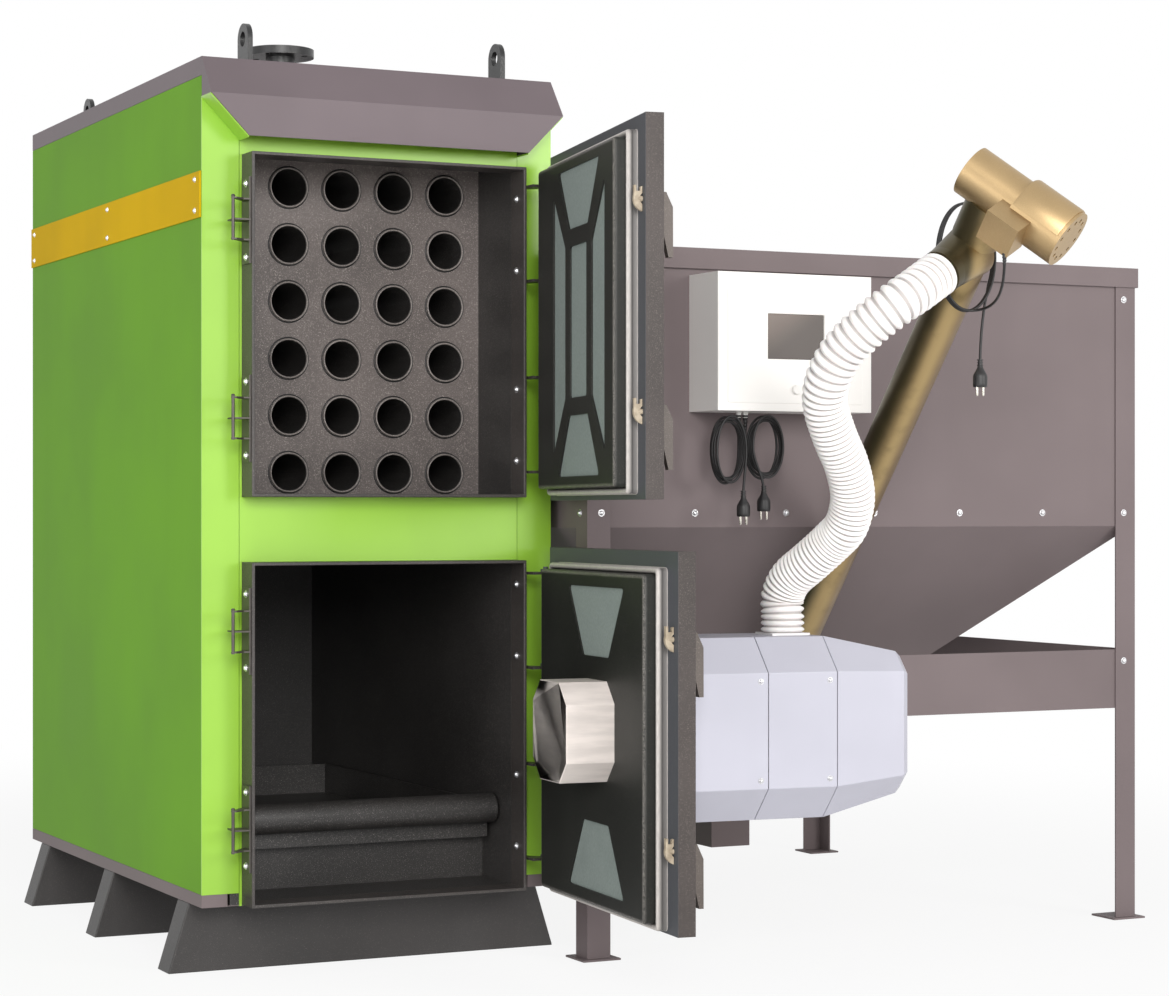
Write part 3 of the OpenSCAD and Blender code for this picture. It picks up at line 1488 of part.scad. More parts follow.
// Turns of a hanging hank, from the side where the lead comes down
// side is 1 or -1, lean tips the turns' plane, and the turns lie one cord beside the other
// sag is the share by which the middle turns are smaller
function turn_point(c, rx, rz, side, pitch, lean, ahead, across, sag, a) = let (n = a / 360,
    squeeze = 1 - sag * pow(sin(180 * n / turns_of_hank), 2))
    c + across * side * (rx * cos(a) - rx * (1 - squeeze) * (1 - cos(a)) / 2)
    - [0, 0, rz * sin(a) * squeeze] + ahead * (pitch * n + lean * rz * (1 + sin(a) * squeeze));

turns_of_hank = 5;
hank_share = 0.16;
turn_rings = 24;
cord_gap = 1.2;
cord_pitch = cord_d + cord_gap;
cord_ref = [0, 1, 0];

function hank(c, rx, rz, side, turns, pitch, lean, ahead, across, sag, last) =
    [for (i = [0 : floor(turn_rings * turns + last / 360 * turn_rings)])
        turn_point(c, rx, rz, side, pitch, lean, ahead, across, sag, i * 360 / turn_rings)];

// A curve that leaves p along direction d and comes in to q straight down
function drop(p, d, q, k) = let (l = norm(q - p) / 3)
    [for (i = [1 : k]) bezier([p, p + d * l, q + [0, 0, l], q], i / k)];

gland_shifts = [70, 85];
gland_xs = [for (d = gland_shifts) box_x + d];
plug_shifts = [-10, 20];
plug_tip = plug_h + plug_pin_l;
hank_rx = 31;
hank_rz = 65;
hank_drop = 75;
hank_z = box_z - hank_drop;
signal_more = [3, -4, 6];
lead_drop = 16;
plug_gap = 24;

// side of the hank that its lead comes down on, and the hank's size, for each cord of the box
function box_cord(x, side, rx, rz, zc, shift) = let (
    c = [x - side * rx, gland_y, zc],
    turns = hank(c, rx, rz, side, turns_of_hank, cord_pitch, 0, [0, -1, 0], [1, 0, 0], hank_share, 0),
    end = turns[len(turns) - 1])
    concat([[x, gland_y, box_z - gland_l / 2], [x, gland_y, box_z - gland_l - lead_drop / 2],
        [x, gland_y, box_z - gland_l - lead_drop], [x, gland_y, zc + lead_drop]],
        turns, drop(end, [0, 0, -1], end + [shift, -cord_pitch, -rz - plug_gap], 10));

power_route = box_cord(gland_xs[0], 1, hank_rx, hank_rz, hank_z, plug_shifts[0]);
signal_route = box_cord(gland_xs[1], -1, hank_rx + signal_more[0],
    hank_rz + signal_more[1], hank_z + signal_more[2], plug_shifts[1]);

module power_cord() {
    color([0.1, 0.1, 0.1]) route_tube(power_route, cord_d / 2, cord_ref, 6);
}

module signal_cord() {
    color([0.1, 0.1, 0.1]) route_tube(signal_route, cord_d / 2, cord_ref, 6);
}

// Round two-pin plug that hangs from the end of its cord
module plug_at(p) {
    color([0.12, 0.12, 0.12]) translate(p) {
        difference() {
            union() {
                translate([0, 0, -plug_h * 0.45]) cylinder(r1 = plug_w * 0.45, r2 = cord_d * 0.8, h = plug_h * 0.6);
                translate([0, 0, -plug_h]) cylinder(r = plug_w / 2, h = plug_h * 0.55);
                for (s = [-1, 1]) translate([s * plug_w / 4, 0, -plug_h - plug_pin_l])
                    cylinder(d = plug_pin_d, h = plug_pin_l + over);
            }
            cylinder(d = cord_d + fit_gap, h = plug_h);
        }
    }
}

module power_plug() {
    plug_at(power_route[len(power_route) - 1]);
}

module signal_plug() {
    plug_at(signal_route[len(signal_route) - 1]);
}

// Motor cord: loops hung over the auger tube, on the hopper's side of its spout
auger_turns = 3;
loop_rx = 54.65;
loop_rz = 96.2;
loop_at = [8.7, 30, 9.1];
loop_c = spout_at + auger_across * loop_at[0] - auger_dir * loop_at[1] - [0, 0, loop_at[2]];
loop_lean = 0.02;
loop_slack = 0.2;
loop_pitch = -cord_pitch - loop_slack;
terminal_exit = [-37, -157, -10];
cord_exit = spout_at + terminal_exit;
loop_turns = hank(loop_c, loop_rx, loop_rz, 1, auger_turns, loop_pitch, loop_lean, auger_dir, auger_across, 0, 30);
loop_in = [for (i = [turn_rings / 4 : len(loop_turns) - 1]) loop_turns[i]];
loop_end = loop_turns[len(loop_turns) - 1];
hang_at = [39, 45, 201];
auger_plug_at = spout_at + auger_across * hang_at[0] - auger_dir * hang_at[1] - [0, 0, hang_at[2]];
lead_reach = 60;
lead_from = cord_exit - [0, 0, lead_drop];
lead_in = [for (i = [0 : 7])
    bezier([lead_from, lead_from - [0, 0, lead_reach], loop_in[0] + auger_across * lead_reach, loop_in[0]], i / 8)];
auger_route = concat([cord_exit, (cord_exit + lead_from) / 2], lead_in, loop_in,
    drop(loop_end, heading(loop_turns, len(loop_turns) - 1), auger_plug_at, 8));

module auger_cord() {
    color([0.1, 0.1, 0.1]) route_tube(auger_route, cord_d / 2, auger_dir, 6);
}

module auger_plug() {
    plug_at(auger_route[len(auger_route) - 1]);
}

// Least gap of a cord to itself, between points more than a few rings apart
function self_gap(p, d, apart) = min([for (i = [0 : 2 : len(p) - 1], j = [i + apart : 1 : len(p) - 1])
    norm(p[i] - p[j])]) - d;
echo(power_cord_gap = self_gap(power_route, cord_d, 12));
echo(signal_cord_gap = self_gap(signal_route, cord_d, 12));
echo(auger_cord_gap = self_gap(auger_route, cord_d, 12));

foot_beams();
base_frame();
side_panels();
rear_panel();
front_panel();
roof_cover();
side_band_plate();
panel_bolts();
upper_door_frame();
lower_door_frame();
water_jacket();
chamber_walls();
tube_sheets();
fire_tubes();
smoke_outlet();
lifting_eyes();
water_flanges();
door_strikers();
hinge_brackets();
ash_pan();
upper_door_shell();
upper_door_insulation();
upper_door_seal();
upper_door_plate();
upper_latch_top();
upper_latch_bottom();
lower_door_shell();
lower_door_insulation();
lower_door_seal();
lower_door_plate();
lower_latch_top();
lower_latch_bottom();
burner_nozzle();
burner_case_inner();
burner_case_middle();
burner_case_outer();
burner_screws();
burner_chassis();
burner_fan();
feed_screw();
hose_inlet();
hopper_stand();
hopper_panels();
hopper_funnel();
hopper_boot();
hopper_lid();
auger_tube();
auger_drive();
auger_screw();
feed_hose();
control_case();
control_panel();
control_display();
control_knob();
power_cord();
power_plug();
signal_cord();
signal_plug();
auger_cord();
auger_plug();
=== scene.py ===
import math

import bmesh
import bpy
from mathutils import Matrix, Vector
from mathutils.geometry import tessellate_polygon
from mathutils.kdtree import KDTree


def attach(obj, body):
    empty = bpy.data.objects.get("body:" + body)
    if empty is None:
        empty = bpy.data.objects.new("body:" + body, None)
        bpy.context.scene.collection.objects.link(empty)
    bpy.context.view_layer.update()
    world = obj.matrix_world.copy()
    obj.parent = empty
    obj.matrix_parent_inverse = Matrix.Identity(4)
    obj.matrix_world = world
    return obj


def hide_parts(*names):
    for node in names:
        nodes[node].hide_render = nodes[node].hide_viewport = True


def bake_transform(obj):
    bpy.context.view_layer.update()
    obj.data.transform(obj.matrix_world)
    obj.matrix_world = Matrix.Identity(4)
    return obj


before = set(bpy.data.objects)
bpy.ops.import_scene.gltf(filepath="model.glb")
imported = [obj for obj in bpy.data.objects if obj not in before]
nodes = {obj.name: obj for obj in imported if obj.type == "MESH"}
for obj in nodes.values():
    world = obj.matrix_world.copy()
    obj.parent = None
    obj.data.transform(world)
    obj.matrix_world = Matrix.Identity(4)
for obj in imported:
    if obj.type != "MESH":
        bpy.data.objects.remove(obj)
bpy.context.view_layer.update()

# Sizes that repeat the part's source, in metres

MM = 0.001
HINGE_PIN = Vector((0.314, -0.666, 0))
UPPER_OPEN, LOWER_OPEN = math.radians(79.3), math.radians(84.65)
HOPPER_MID = Vector((1.0185, -0.0845, 0))
AUGER_RISE, AUGER_TURN = math.radians(40.9), math.radians(9.2)
AUGER_FOOT_Z, AUGER_LENGTH = 0.184, 1.889
SPOUT_BACK, SPOUT_LENGTH = 0.145, 0.098
SPOUT_ANGLE, DRIVE_ANGLE = math.radians(218), math.radians(308)
CORD_D, HOSE_D = 0.005, 0.081
BOX_X, BOX_Z, BOX_W, BOX_H = 0.5945, 1.056, 0.344, 0.267
BOX_FRONT_Y = -0.845
UP = Vector((0, 0, 1))
SHARP = math.radians(40)

# The auger's own frame, whose Z axis runs up the tube
AUGER = (
    Matrix.Translation((HOPPER_MID.x, HOPPER_MID.y, AUGER_FOOT_Z))
    @ Matrix.Rotation(-AUGER_TURN, 4, "Z")
    @ Matrix.Rotation(math.pi / 2 - AUGER_RISE, 4, "X")
)
AUGER_DIR = Vector((-math.sin(AUGER_TURN), -math.cos(AUGER_TURN), 0))
AUGER_ACROSS = Vector((math.cos(AUGER_TURN), -math.sin(AUGER_TURN), 0))
SPOUT_AT = AUGER @ Vector((0, 0, AUGER_LENGTH - SPOUT_BACK))
SPOUT_DIR = AUGER.to_3x3() @ Vector((math.cos(SPOUT_ANGLE), math.sin(SPOUT_ANGLE), 0))
DRIVE = (
    AUGER
    @ Matrix.Translation((0, 0, AUGER_LENGTH))
    @ Matrix.Rotation(DRIVE_ANGLE, 4, "Z")
    @ Matrix.Rotation(math.pi / 2, 4, "Y")
)


def swung(angle):
    """Turn of a door about its hinge pins."""
    pins = Matrix.Translation(HINGE_PIN)
    return pins @ Matrix.Rotation(angle, 4, "Z") @ pins.inverted()


UPPER_DOOR = swung(UPPER_OPEN)
LOWER_DOOR = swung(LOWER_OPEN)
DOOR_Y = -0.710
BURNER_X, BURNER_Z = -0.036, 0.468
INLET_Y, INLET_Z = DOOR_Y - 0.296, BURNER_Z + 0.170

# Camera


def placed(name, data):
    """A new object in the scene that shows a mesh, a curve, a lamp or a camera."""
    held = bpy.data.objects.new(name, data)
    bpy.context.scene.collection.objects.link(held)
    return held


def aim(held, place, heading):
    """Sets a lamp or a camera at a place, with its view along a heading."""
    held.location = place
    held.rotation_euler = Vector(heading).to_track_quat("-Z", "Y").to_euler()


lens = bpy.data.cameras.new("boiler_camera")
lens.sensor_width, lens.lens, lens.shift_y, lens.clip_end = 36, 84.87, 0.0106, 60
bpy.context.scene.camera = placed("boiler_camera", lens)
aim(bpy.context.scene.camera, (-1.9547, -5.4734, 0.864), (0.4395, 0.8983, 0))

# Finishes


def paint(r, g, b):
    """Linear colour of a shade that is read as 0 to 255."""
    return tuple(
        (v / 255 / 12.92) if v / 255 <= 0.04045 else ((v / 255 + 0.055) / 1.055) ** 2.4
        for v in (r, g, b)
    ) + (1,)


def wired(tree, kind, sockets, settings):
    """A new node with its settings, each of its sockets linked or set to a value."""
    node = tree.nodes.new(kind)
    for key, value in settings.items():
        setattr(node, key, value)
    for key, value in sockets.items():
        value = getattr(value, "socket", value)
        if isinstance(value, bpy.types.NodeSocket):
            tree.links.new(value, node.inputs[key])
        else:
            node.inputs[key].default_value = value
    return node


class Value:
    """A shader socket that sums can be written with."""

    def __init__(self, finish, socket):
        self.finish, self.socket = finish, socket

    def sum(self, operation, first, second):
        return self.finish.add("ShaderNodeMath", {0: first, 1: second}, operation=operation)

    def __add__(self, other):
        return self.sum("ADD", self, other)

    def __sub__(self, other):
        return self.sum("SUBTRACT", self, other)

    def __rsub__(self, other):
        return self.sum("SUBTRACT", other, self)

    def __mul__(self, other):
        return self.sum("MULTIPLY", self, other)

    def __gt__(self, other):
        return self.sum("GREATER_THAN", self, other)

    __radd__ = __add__

    def wave(self):
        return self.sum("SINE", self, 0)

    def within(self, low, high):
        """0 below low and 1 above high, smooth between."""
        sockets = {0: self, 1: low, 2: high}
        return self.finish.add("ShaderNodeMapRange", sockets, interpolation_type="SMOOTHSTEP")


class Nodes:
    """A shader tree, emptied, with its output."""

    def __init__(self, tree, output):
        self.tree = tree
        tree.nodes.clear()
        self.output = tree.nodes.new(output)

    def add(self, kind, sockets, out=0, **settings):
        return Value(self, wired(self.tree, kind, sockets, settings).outputs[out])

    def place(self, scale=(1, 1, 1)):
        """The surface's own place in metres, stretched for a pattern."""
        spot = self.add("ShaderNodeTexCoord", {}, out=3)
        return self.add("ShaderNodeMapping", {"Vector": spot, "Scale": scale})

    def parts(self, vector):
        node = self.tree.nodes.new("ShaderNodeSeparateXYZ")
        self.tree.links.new(vector.socket, node.inputs[0])
        return [Value(self, out) for out in node.outputs]

    def grain(self, scale, detail, spot=None, rough=0.5):
        sockets = {"Scale": scale, "Detail": detail, "Roughness": rough}
        return self.add("ShaderNodeTexNoise", {"Vector": spot or self.place(), **sockets})

    def blend(self, share, first, second):
        sockets = {0: share, 6: first, 7: second}
        return self.add("ShaderNodeMix", sockets, out=2, data_type="RGBA")

    def mottled(self, pattern, colour, dark, light):
        """A colour that a pattern darkens and lightens."""
        return self.blend(pattern.within(0.3, 0.7), scaled(colour, dark), scaled(colour, light))

    def relief(self, height, depth, strength):
        sockets = {"Height": height, "Distance": depth, "Strength": strength}
        return self.add("ShaderNodeBump", sockets)

    def mark(self, name):
        """A value that each point of the mesh holds."""
        return self.add("ShaderNodeAttribute", {}, out=2, attribute_name=name)

    def end(self, shader):
        self.tree.links.new(shader.socket, self.output.inputs[0])


class Finish(Nodes):
    """One material and the nodes that it is made from."""

    def __init__(self, name):
        self.material = bpy.data.materials.new(name)
        self.material.use_nodes = True
        super().__init__(self.material.node_tree, "ShaderNodeOutputMaterial")

    def shade(self, **sockets):
        """Ends the finish in one shader. A name's underscores stand for spaces."""
        named = {key.replace("_", " "): value for key, value in sockets.items()}
        self.end(self.add("ShaderNodeBsdfPrincipled", named))
        return self.material

    def textured(self, colour, gloss, level, deep, strength, scale=520, spread=0.12):
        """Ends the finish in a coat of raised grains."""
        fine = self.grain(scale, 3, rough=0.6)
        return self.shade(
            Base_Color=colour,
            Roughness=gloss - fine * spread,
            Specular_IOR_Level=level,
            Normal=self.relief(fine, deep, strength),
        )


def scaled(colour, k):
    """A colour made k times as bright."""
    return tuple(min(1, c * k) for c in colour[:3]) + (1,)


def painted_sheet(name, colour, gloss, coat, cloud=0.08, shine=0.5):
    """Powder paint on sheet steel: faint clouds in its colour, orange peel, a soft gloss."""
    f = Finish(name)
    clouds = f.grain(2.2, 3)
    streaks = f.grain(9, 2, f.place((1, 1, 0.12)))
    shade = f.mottled(clouds, colour, 1 - cloud, 1 + cloud)
    shade = f.blend(streaks.within(0.45, 0.8) * 0.25, shade, scaled(colour, 1 - cloud * 1.4))
    fine = f.grain(650, 1)
    return f.shade(
        Base_Color=shade,
        Roughness=gloss - 0.06 + clouds * 0.12,
        Specular_IOR_Level=shine,
        Coat_Weight=coat,
        Coat_Roughness=0.25,
        Normal=f.relief(fine, 0.0002, 0.35),
    )


def grained(f, colour, glint, share, cloud=0.2):
    """Base colour of a textured coat, with its clouds and bright grains painted in the glint
    colour as glints of light.
    """
    shade = f.mottled(f.grain(4, 3), colour, 1 - cloud, 1 + cloud)
    # Bright grains painted as glints of light on the raised texture
    return f.blend(f.grain(760, 1).within(share, share + 0.12), shade, glint)


def rough_coat(name, colour, glint, share=0.62, gloss=0.52):
    """Textured black coat: raised grains, some of them painted lighter as glints of light."""
    f = Finish(name)
    coat = grained(f, colour, glint, share, 0.25)
    return f.textured(coat, gloss, level=0.55, deep=0.0006, strength=0.75, spread=0.15)


FLANGE_DEPTH = -0.0114
HOOK_DEPTH = -0.029


def door_step(f, angle, depth, soft):
    """0 before a depth of an open door and 1 past it, measured from its hinge pins' plane."""
    x, y, _ = f.parts(f.place())
    away = (x - HINGE_PIN.x) * -math.sin(angle) + (y - HINGE_PIN.y) * math.cos(angle)
    return away.within(depth - soft, depth + soft)


def door_coat(name, angle):
    """Brown grey textured coat of a door, smooth and bluer on the flange round its plate."""
    f = Finish(name)
    # The second colour paints glints of light on the raised grains
    coat = grained(f, paint(63, 57, 55), paint(108, 100, 95), 0.6)
    shade = f.blend(door_step(f, angle, FLANGE_DEPTH, 0.0002), coat, paint(72, 74, 79))
    return f.textured(shade, gloss=0.56, level=0.35, deep=0.0004, strength=0.6)


def latch_coat(name, angle):
    """Lever in the door's coat and hook in cream plated steel."""
    f = Finish(name)
    # The second colour paints glints of light on the raised grains
    coat = grained(f, paint(84, 76, 71), paint(128, 118, 112), 0.62)
    plated = f.blend(f.grain(70, 3).within(0.35, 0.7), paint(190, 176, 154), paint(160, 145, 124))
    shade = f.blend(door_step(f, angle, HOOK_DEPTH, 0.001), coat, plated)
    return f.textured(shade, gloss=0.5, level=0.5, deep=0.0003, strength=0.5, scale=420)


def worn_plate(name):
    """Near-black green coat of the inner plates, worn to bright grains along the folds."""
    f = Finish(name)
    # The second colour paints glints of light on the raised grains
    shade = grained(f, paint(33, 34, 31), paint(92, 89, 84), 0.64)
    worn = f.mark("worn") * f.grain(900, 1).within(0.46, 0.60)
    shade = f.blend(worn, shade, paint(146, 141, 136))
    return f.textured(shade, gloss=0.54, level=0.3, deep=0.0004, strength=0.6)


def worn_steel(name, colour, rough, metal=0.9, stretch=(1, 1, 1)):
    """Bare or plated steel with the fine lines that rolling or turning left."""
    f = Finish(name)
    lines = f.grain(60, 4, f.place(stretch))
    stains = f.grain(14, 3)
    shade = f.mottled(lines, colour, 0.88, 1.08)
    shade = f.blend(stains.within(0.55, 0.8) * 0.4, shade, scaled(colour, 0.7))
    return f.shade(
        Base_Color=shade,
        Metallic=metal,
        Roughness=rough - 0.08 + lines * 0.16,
        Normal=f.relief(lines, 0.0002, 0.3),
    )


def gold_lacquer(name):
    """Metallic gold lacquer over rolled tube: soft streaks and a fine flake."""
    f = Finish(name)
    flake = f.add("ShaderNodeTexVoronoi", {"Vector": f.place(), "Scale": 900})
    clouds = f.grain(7, 3)
    gold = paint(170, 144, 104)
    shade = f.mottled(clouds, gold, 0.9, 1.08)
    shade = f.blend(flake * 0.3, shade, paint(206, 182, 144))
    return f.shade(
        Base_Color=shade,
        Metallic=0.82,
        Roughness=0.36 + clouds * 0.1,
        Normal=f.relief(flake, 0.00015, 0.25),
    )


def gold_tube_painted_shading(name):
    """Darker gold of the auger's tube with painted shading across it: painted shade, olive on one
    flank and brown on the other, and a painted highlight between.
    """
    f = Finish(name)
    x, y, _ = f.parts(f.place())
    across = (x - HOPPER_MID.x) * AUGER_ACROSS.x + (y - HOPPER_MID.y) * AUGER_ACROSS.y
    mottle = f.grain(26, 4)
    across = across + (mottle - 0.5) * 0.006
    # Colours by place across the tube: painted shade on the flanks, a painted highlight between
    shade = f.blend(across.within(-0.036, -0.012), paint(82, 74, 52), paint(176, 152, 106))
    shade = f.blend(across.within(-0.006, 0.022), shade, paint(128, 106, 76))
    shade = f.blend(mottle.within(0.5, 0.8) * 0.35, shade, paint(104, 88, 62))
    return f.shade(
        Base_Color=shade,
        Metallic=0.7,
        Roughness=0.34 + mottle * 0.12,
        Normal=f.relief(mottle, 0.0002, 0.3),
    )


def door_board(name):
    """Pressed insulation board behind the cut-outs: grey green, flat, finely felted."""
    f = Finish(name)
    felt = f.grain(420, 4, f.place((1, 1, 0.5)))
    clouds = f.grain(11, 3)
    base = paint(128, 138, 134)
    shade = f.mottled(felt, base, 0.9, 1.08)
    shade = f.blend(clouds.within(0.5, 0.8) * 0.4, shade, paint(112, 122, 118))
    return f.shade(Base_Color=shade, Roughness=0.85, Normal=f.relief(felt, 0.0004, 0.5))


def seal_cover(name):
    """Satin grey cover of the rope seal, white at its lip, with a painted highlight on its crest
    and painted light on its level runs.
    """
    f = Finish(name)
    weave = f.grain(300, 2, f.place((1, 1, 0.25)))
    tone = f.mark("tone")
    # The tone paints the crest's highlight and the light on the level runs, and whitens the lip
    shade = f.blend(tone, paint(98, 96, 95), paint(206, 200, 195))
    shade = f.blend(weave.within(0.3, 0.7) * 0.25, shade, paint(120, 117, 116))
    return f.shade(
        Base_Color=shade,
        Metallic=0.2,
        Roughness=0.46 + weave * 0.1,
        Specular_IOR_Level=0.35,
        Normal=f.relief(weave, 0.0002, 0.3),
    )


def hose_plastic(name):
    """Pale plastic with painted shade in the grooves between its ribs, and a little dust."""
    f = Finish(name)
    clouds = f.grain(30, 3)
    dust = f.grain(180, 2)
    shade = f.blend(clouds.within(0.35, 0.75), paint(247, 244, 242), paint(240, 235, 233))
    phase = f.mark("phase")
    # Painted shade in the grooves between the ribs
    groove = ((phase + 0.25) * 2 * math.pi).wave().within(0.25, 0.95)
    shade = f.blend(groove * 0.75, shade, paint(150, 143, 141))
    shade = f.blend(dust.within(0.6, 0.8) * 0.3, shade, paint(214, 210, 206))
    return f.shade(
        Base_Color=shade,
        Roughness=0.42 + clouds * 0.1,
        Subsurface_Weight=0.05,
        Normal=f.relief(dust, 0.0002, 0.2),
    )


def rubber(name, base, gloss):
    """Matt rubber with patches of dust."""
    f = Finish(name)
    fine = f.grain(900, 2)
    dust = f.grain(60, 3)
    shade = f.blend(dust.within(0.45, 0.75) * 0.6, base, scaled(base, 2.2))
    return f.shade(
        Base_Color=shade,
        Roughness=gloss + fine * 0.15,
        Normal=f.relief(fine, 0.0002, 0.4),
    )


def screen_glass(name):
    """Dark display behind a clear pane, with a faint diagonal sheen painted into its colour as a
    reflection.
    """
    f = Finish(name)
    x, _, z = f.parts(f.place())
    # A diagonal painted reflection across the display
    painted_sheen = (x * 2.2 - z * 3.1 + 2.19) + f.grain(6, 2) * 0.1
    shade = f.blend(painted_sheen.within(-0.06, 0.22), paint(106, 92, 84), paint(66, 56, 50))
    dust = f.grain(400, 2)
    return f.shade(
        Base_Color=shade,
        Roughness=0.3 + dust.within(0.5, 0.9) * 0.1,
        Specular_IOR_Level=0.25,
        Coat_Weight=0.1,
        Coat_Roughness=0.2,
    )


# The side and front panels wear one green paint. The front's copy is lighter and yellower as
# painted light, and the side's darker copy is painted shade.
SHADED_SIDE_GREEN = painted_sheet("green_paint_shaded_side", paint(104, 157, 36), 0.5, 0, shine=0.06)
LIT_FRONT_GREEN = painted_sheet("green_paint_lit_front", paint(146, 196, 56), 0.34, 0.25, shine=0.6)
ROOF = painted_sheet("roof_paint", paint(106, 95, 99), 0.5, 0.04, shine=0.35)
YELLOW = painted_sheet("yellow_paint", paint(212, 172, 16), 0.5, 0, shine=0.02)
HOPPER = painted_sheet("hopper_paint", paint(118, 107, 108), 0.55, 0, shine=0.2)
LAVENDER = painted_sheet("burner_paint", paint(186, 186, 198), 0.4, 0.1, shine=0.4)
WHITE = painted_sheet("box_paint", paint(244, 242, 239), 0.45, 0.05, cloud=0.01, shine=0.2)
# Each rough coat's second colour paints glints of light on its raised grains
FRAME = rough_coat("door_frame_coat", paint(56, 52, 50), paint(120, 112, 108))
UPPER_SHELL = door_coat("upper_door_coat", UPPER_OPEN)
LOWER_SHELL = door_coat("lower_door_coat", LOWER_OPEN)
UPPER_LATCH = latch_coat("upper_latch_coat", UPPER_OPEN)
LOWER_LATCH = latch_coat("lower_latch_coat", LOWER_OPEN)
PLATE = worn_plate("inner_plate_coat")
BLOCK = painted_sheet("inlet_paint", paint(232, 230, 230), 0.4, 0.1)
SOOT = rough_coat("sooted_steel", paint(46, 44, 43), paint(136, 132, 128))
TUBES = rough_coat("tube_sheet_coat", paint(98, 90, 87), paint(176, 166, 160), 0.6)
BEAM = rough_coat("beam_coat", paint(45, 42, 41), paint(100, 94, 90), 0.66)
BLACK = rough_coat("black_enamel", paint(26, 26, 27), paint(84, 82, 82), 0.68, 0.4)
ZINC = worn_steel("zinc", paint(226, 226, 228), 0.28)
BARE = worn_steel("bare_nozzle_steel", paint(222, 213, 207), 0.4, 0.15, (0.15, 0.15, 1))
STEEL = worn_steel("mill_steel", paint(128, 126, 126), 0.45)
RIM = rough_coat("tube_rim_coat", paint(120, 113, 109), paint(188, 180, 174), 0.56)
DARK = worn_steel("dark_rod", paint(84, 80, 76), 0.45, 0.6)
GOLD = gold_lacquer("gold_lacquer")
GOLD_TUBE_SHADED = gold_tube_painted_shading("gold_tube_painted_shading")
BOARD = door_board("insulation_board")
SEAL = seal_cover("seal_cover")
HOSE = hose_plastic("hose_plastic")
CORD = rubber("cord_rubber", paint(24, 23, 24), 0.45)
PLUG = rubber("plug_rubber", paint(30, 29, 30), 0.4)
PIN = worn_steel("plug_pins", paint(226, 222, 212), 0.25, 0.95)
SCREEN = screen_glass("display_glass")

NODE_FINISHES = {
    SHADED_SIDE_GREEN: "side_panels",
    LIT_FRONT_GREEN: "front_panel",
    ROOF: "roof_cover rear_panel",
    YELLOW: "side_band_plate",
    HOPPER: "hopper_stand hopper_panels hopper_funnel hopper_boot hopper_lid base_frame",
    LAVENDER: "burner_case_inner burner_case_middle burner_case_outer",
    WHITE: "control_case control_panel control_knob",
    FRAME: "upper_door_frame lower_door_frame hinge_brackets burner_chassis",
    UPPER_SHELL: "upper_door_shell",
    LOWER_SHELL: "lower_door_shell",
    PLATE: "upper_door_plate lower_door_plate",
    SOOT: "chamber_walls ash_pan fire_tubes smoke_outlet water_jacket",
    TUBES: "tube_sheets",
    BEAM: "foot_beams",
    BLACK: "lifting_eyes water_flanges",
    BARE: "burner_nozzle",
    STEEL: "auger_screw feed_screw burner_fan",
    BLOCK: "hose_inlet",
    DARK: "door_strikers",
    UPPER_LATCH: "upper_latch_top upper_latch_bottom",
    LOWER_LATCH: "lower_latch_top lower_latch_bottom",
    GOLD: "auger_drive",
    GOLD_TUBE_SHADED: "auger_tube",
    BOARD: "upper_door_insulation lower_door_insulation",
    SEAL: "upper_door_seal lower_door_seal",
    SCREEN: "control_display",
}

for finish, names in NODE_FINISHES.items():
    for name in names.split():
        if not nodes[name].material_slots:
            nodes[name].data.materials.append(finish)
        for slot in nodes[name].material_slots:
            slot.material = finish


EDGE_ANGLE = math.radians(35)


def soften(names, width, segments=2):
    """Small rounds on a node's edges, which catch the light as folded and cut steel does."""
    for name in names.split():
        piece = nodes[name]
        weld = piece.modifiers.new("joined", "WELD")
        weld.merge_threshold = 0.00002
        flat = piece.modifiers.new("flats", "DECIMATE")
        flat.decimate_type = "DISSOLVE"
        flat.angle_limit = math.radians(0.5)
        edge = piece.modifiers.new("edges", "BEVEL")
        edge.width, edge.segments = width, segments
        edge.limit_method, edge.angle_limit = "ANGLE", EDGE_ANGLE


soften("roof_cover side_panels front_panel rear_panel", 0.0012)
soften("foot_beams upper_door_shell lower_door_shell", 0.0022)
soften("upper_door_frame lower_door_frame", 0.0012)
soften("hopper_stand hopper_lid hopper_funnel", 0.0012)
soften("burner_case_inner burner_case_middle burner_case_outer burner_nozzle", 0.0022)
soften("control_case control_panel control_knob", 0.0014)
soften("side_band_plate base_frame control_display", 0.0006, 1)

# Mesh helpers


def shown(name, mesh, finish):
    """An object for a mesh that has one finish all over."""
    mesh.materials.append(finish)
    return placed(name, mesh)


def from_faces(name, points, faces, finish):
    """Closed mesh from its points and faces, with its normals turned outwards."""
    form = bmesh.new()
    corners = [form.verts.new(p) for p in points]
    for face in faces:
        form.faces.new([corners[i] for i in face])
    bmesh.ops.remove_doubles(form, verts=form.verts, dist=1e-7)
    bmesh.ops.recalc_face_normals(form, faces=form.faces)
    for face in form.faces:
        face.smooth = True
    mesh = bpy.data.meshes.new(name)
    form.to_mesh(mesh)
    form.free()
    mesh.set_sharp_from_angle(angle=SHARP)
    return shown(name, mesh, finish)


def side_of(direction):
    """Two directions square to a heading and to each other, the first of them level."""
    u = direction.cross(UP)
    if u.length < 1e-4:
        u = Vector((1, 0, 0))
    u.normalize()
    return u, direction.cross(u).normalized()


def circle(centre, u, v, radius, sides):
    """Points round a centre, in the plane of two directions."""
    turns = [2 * math.pi * k / sides for k in range(sides)]
    return [centre + radius * (math.cos(a) * u + math.sin(a) * v) for a in turns]


def band(a, b, n):
    """Faces between two rings of n points, which start at a and at b."""
    return [(a + k, a + (k + 1) % n, b + (k + 1) % n, b + k) for k in range(n)]


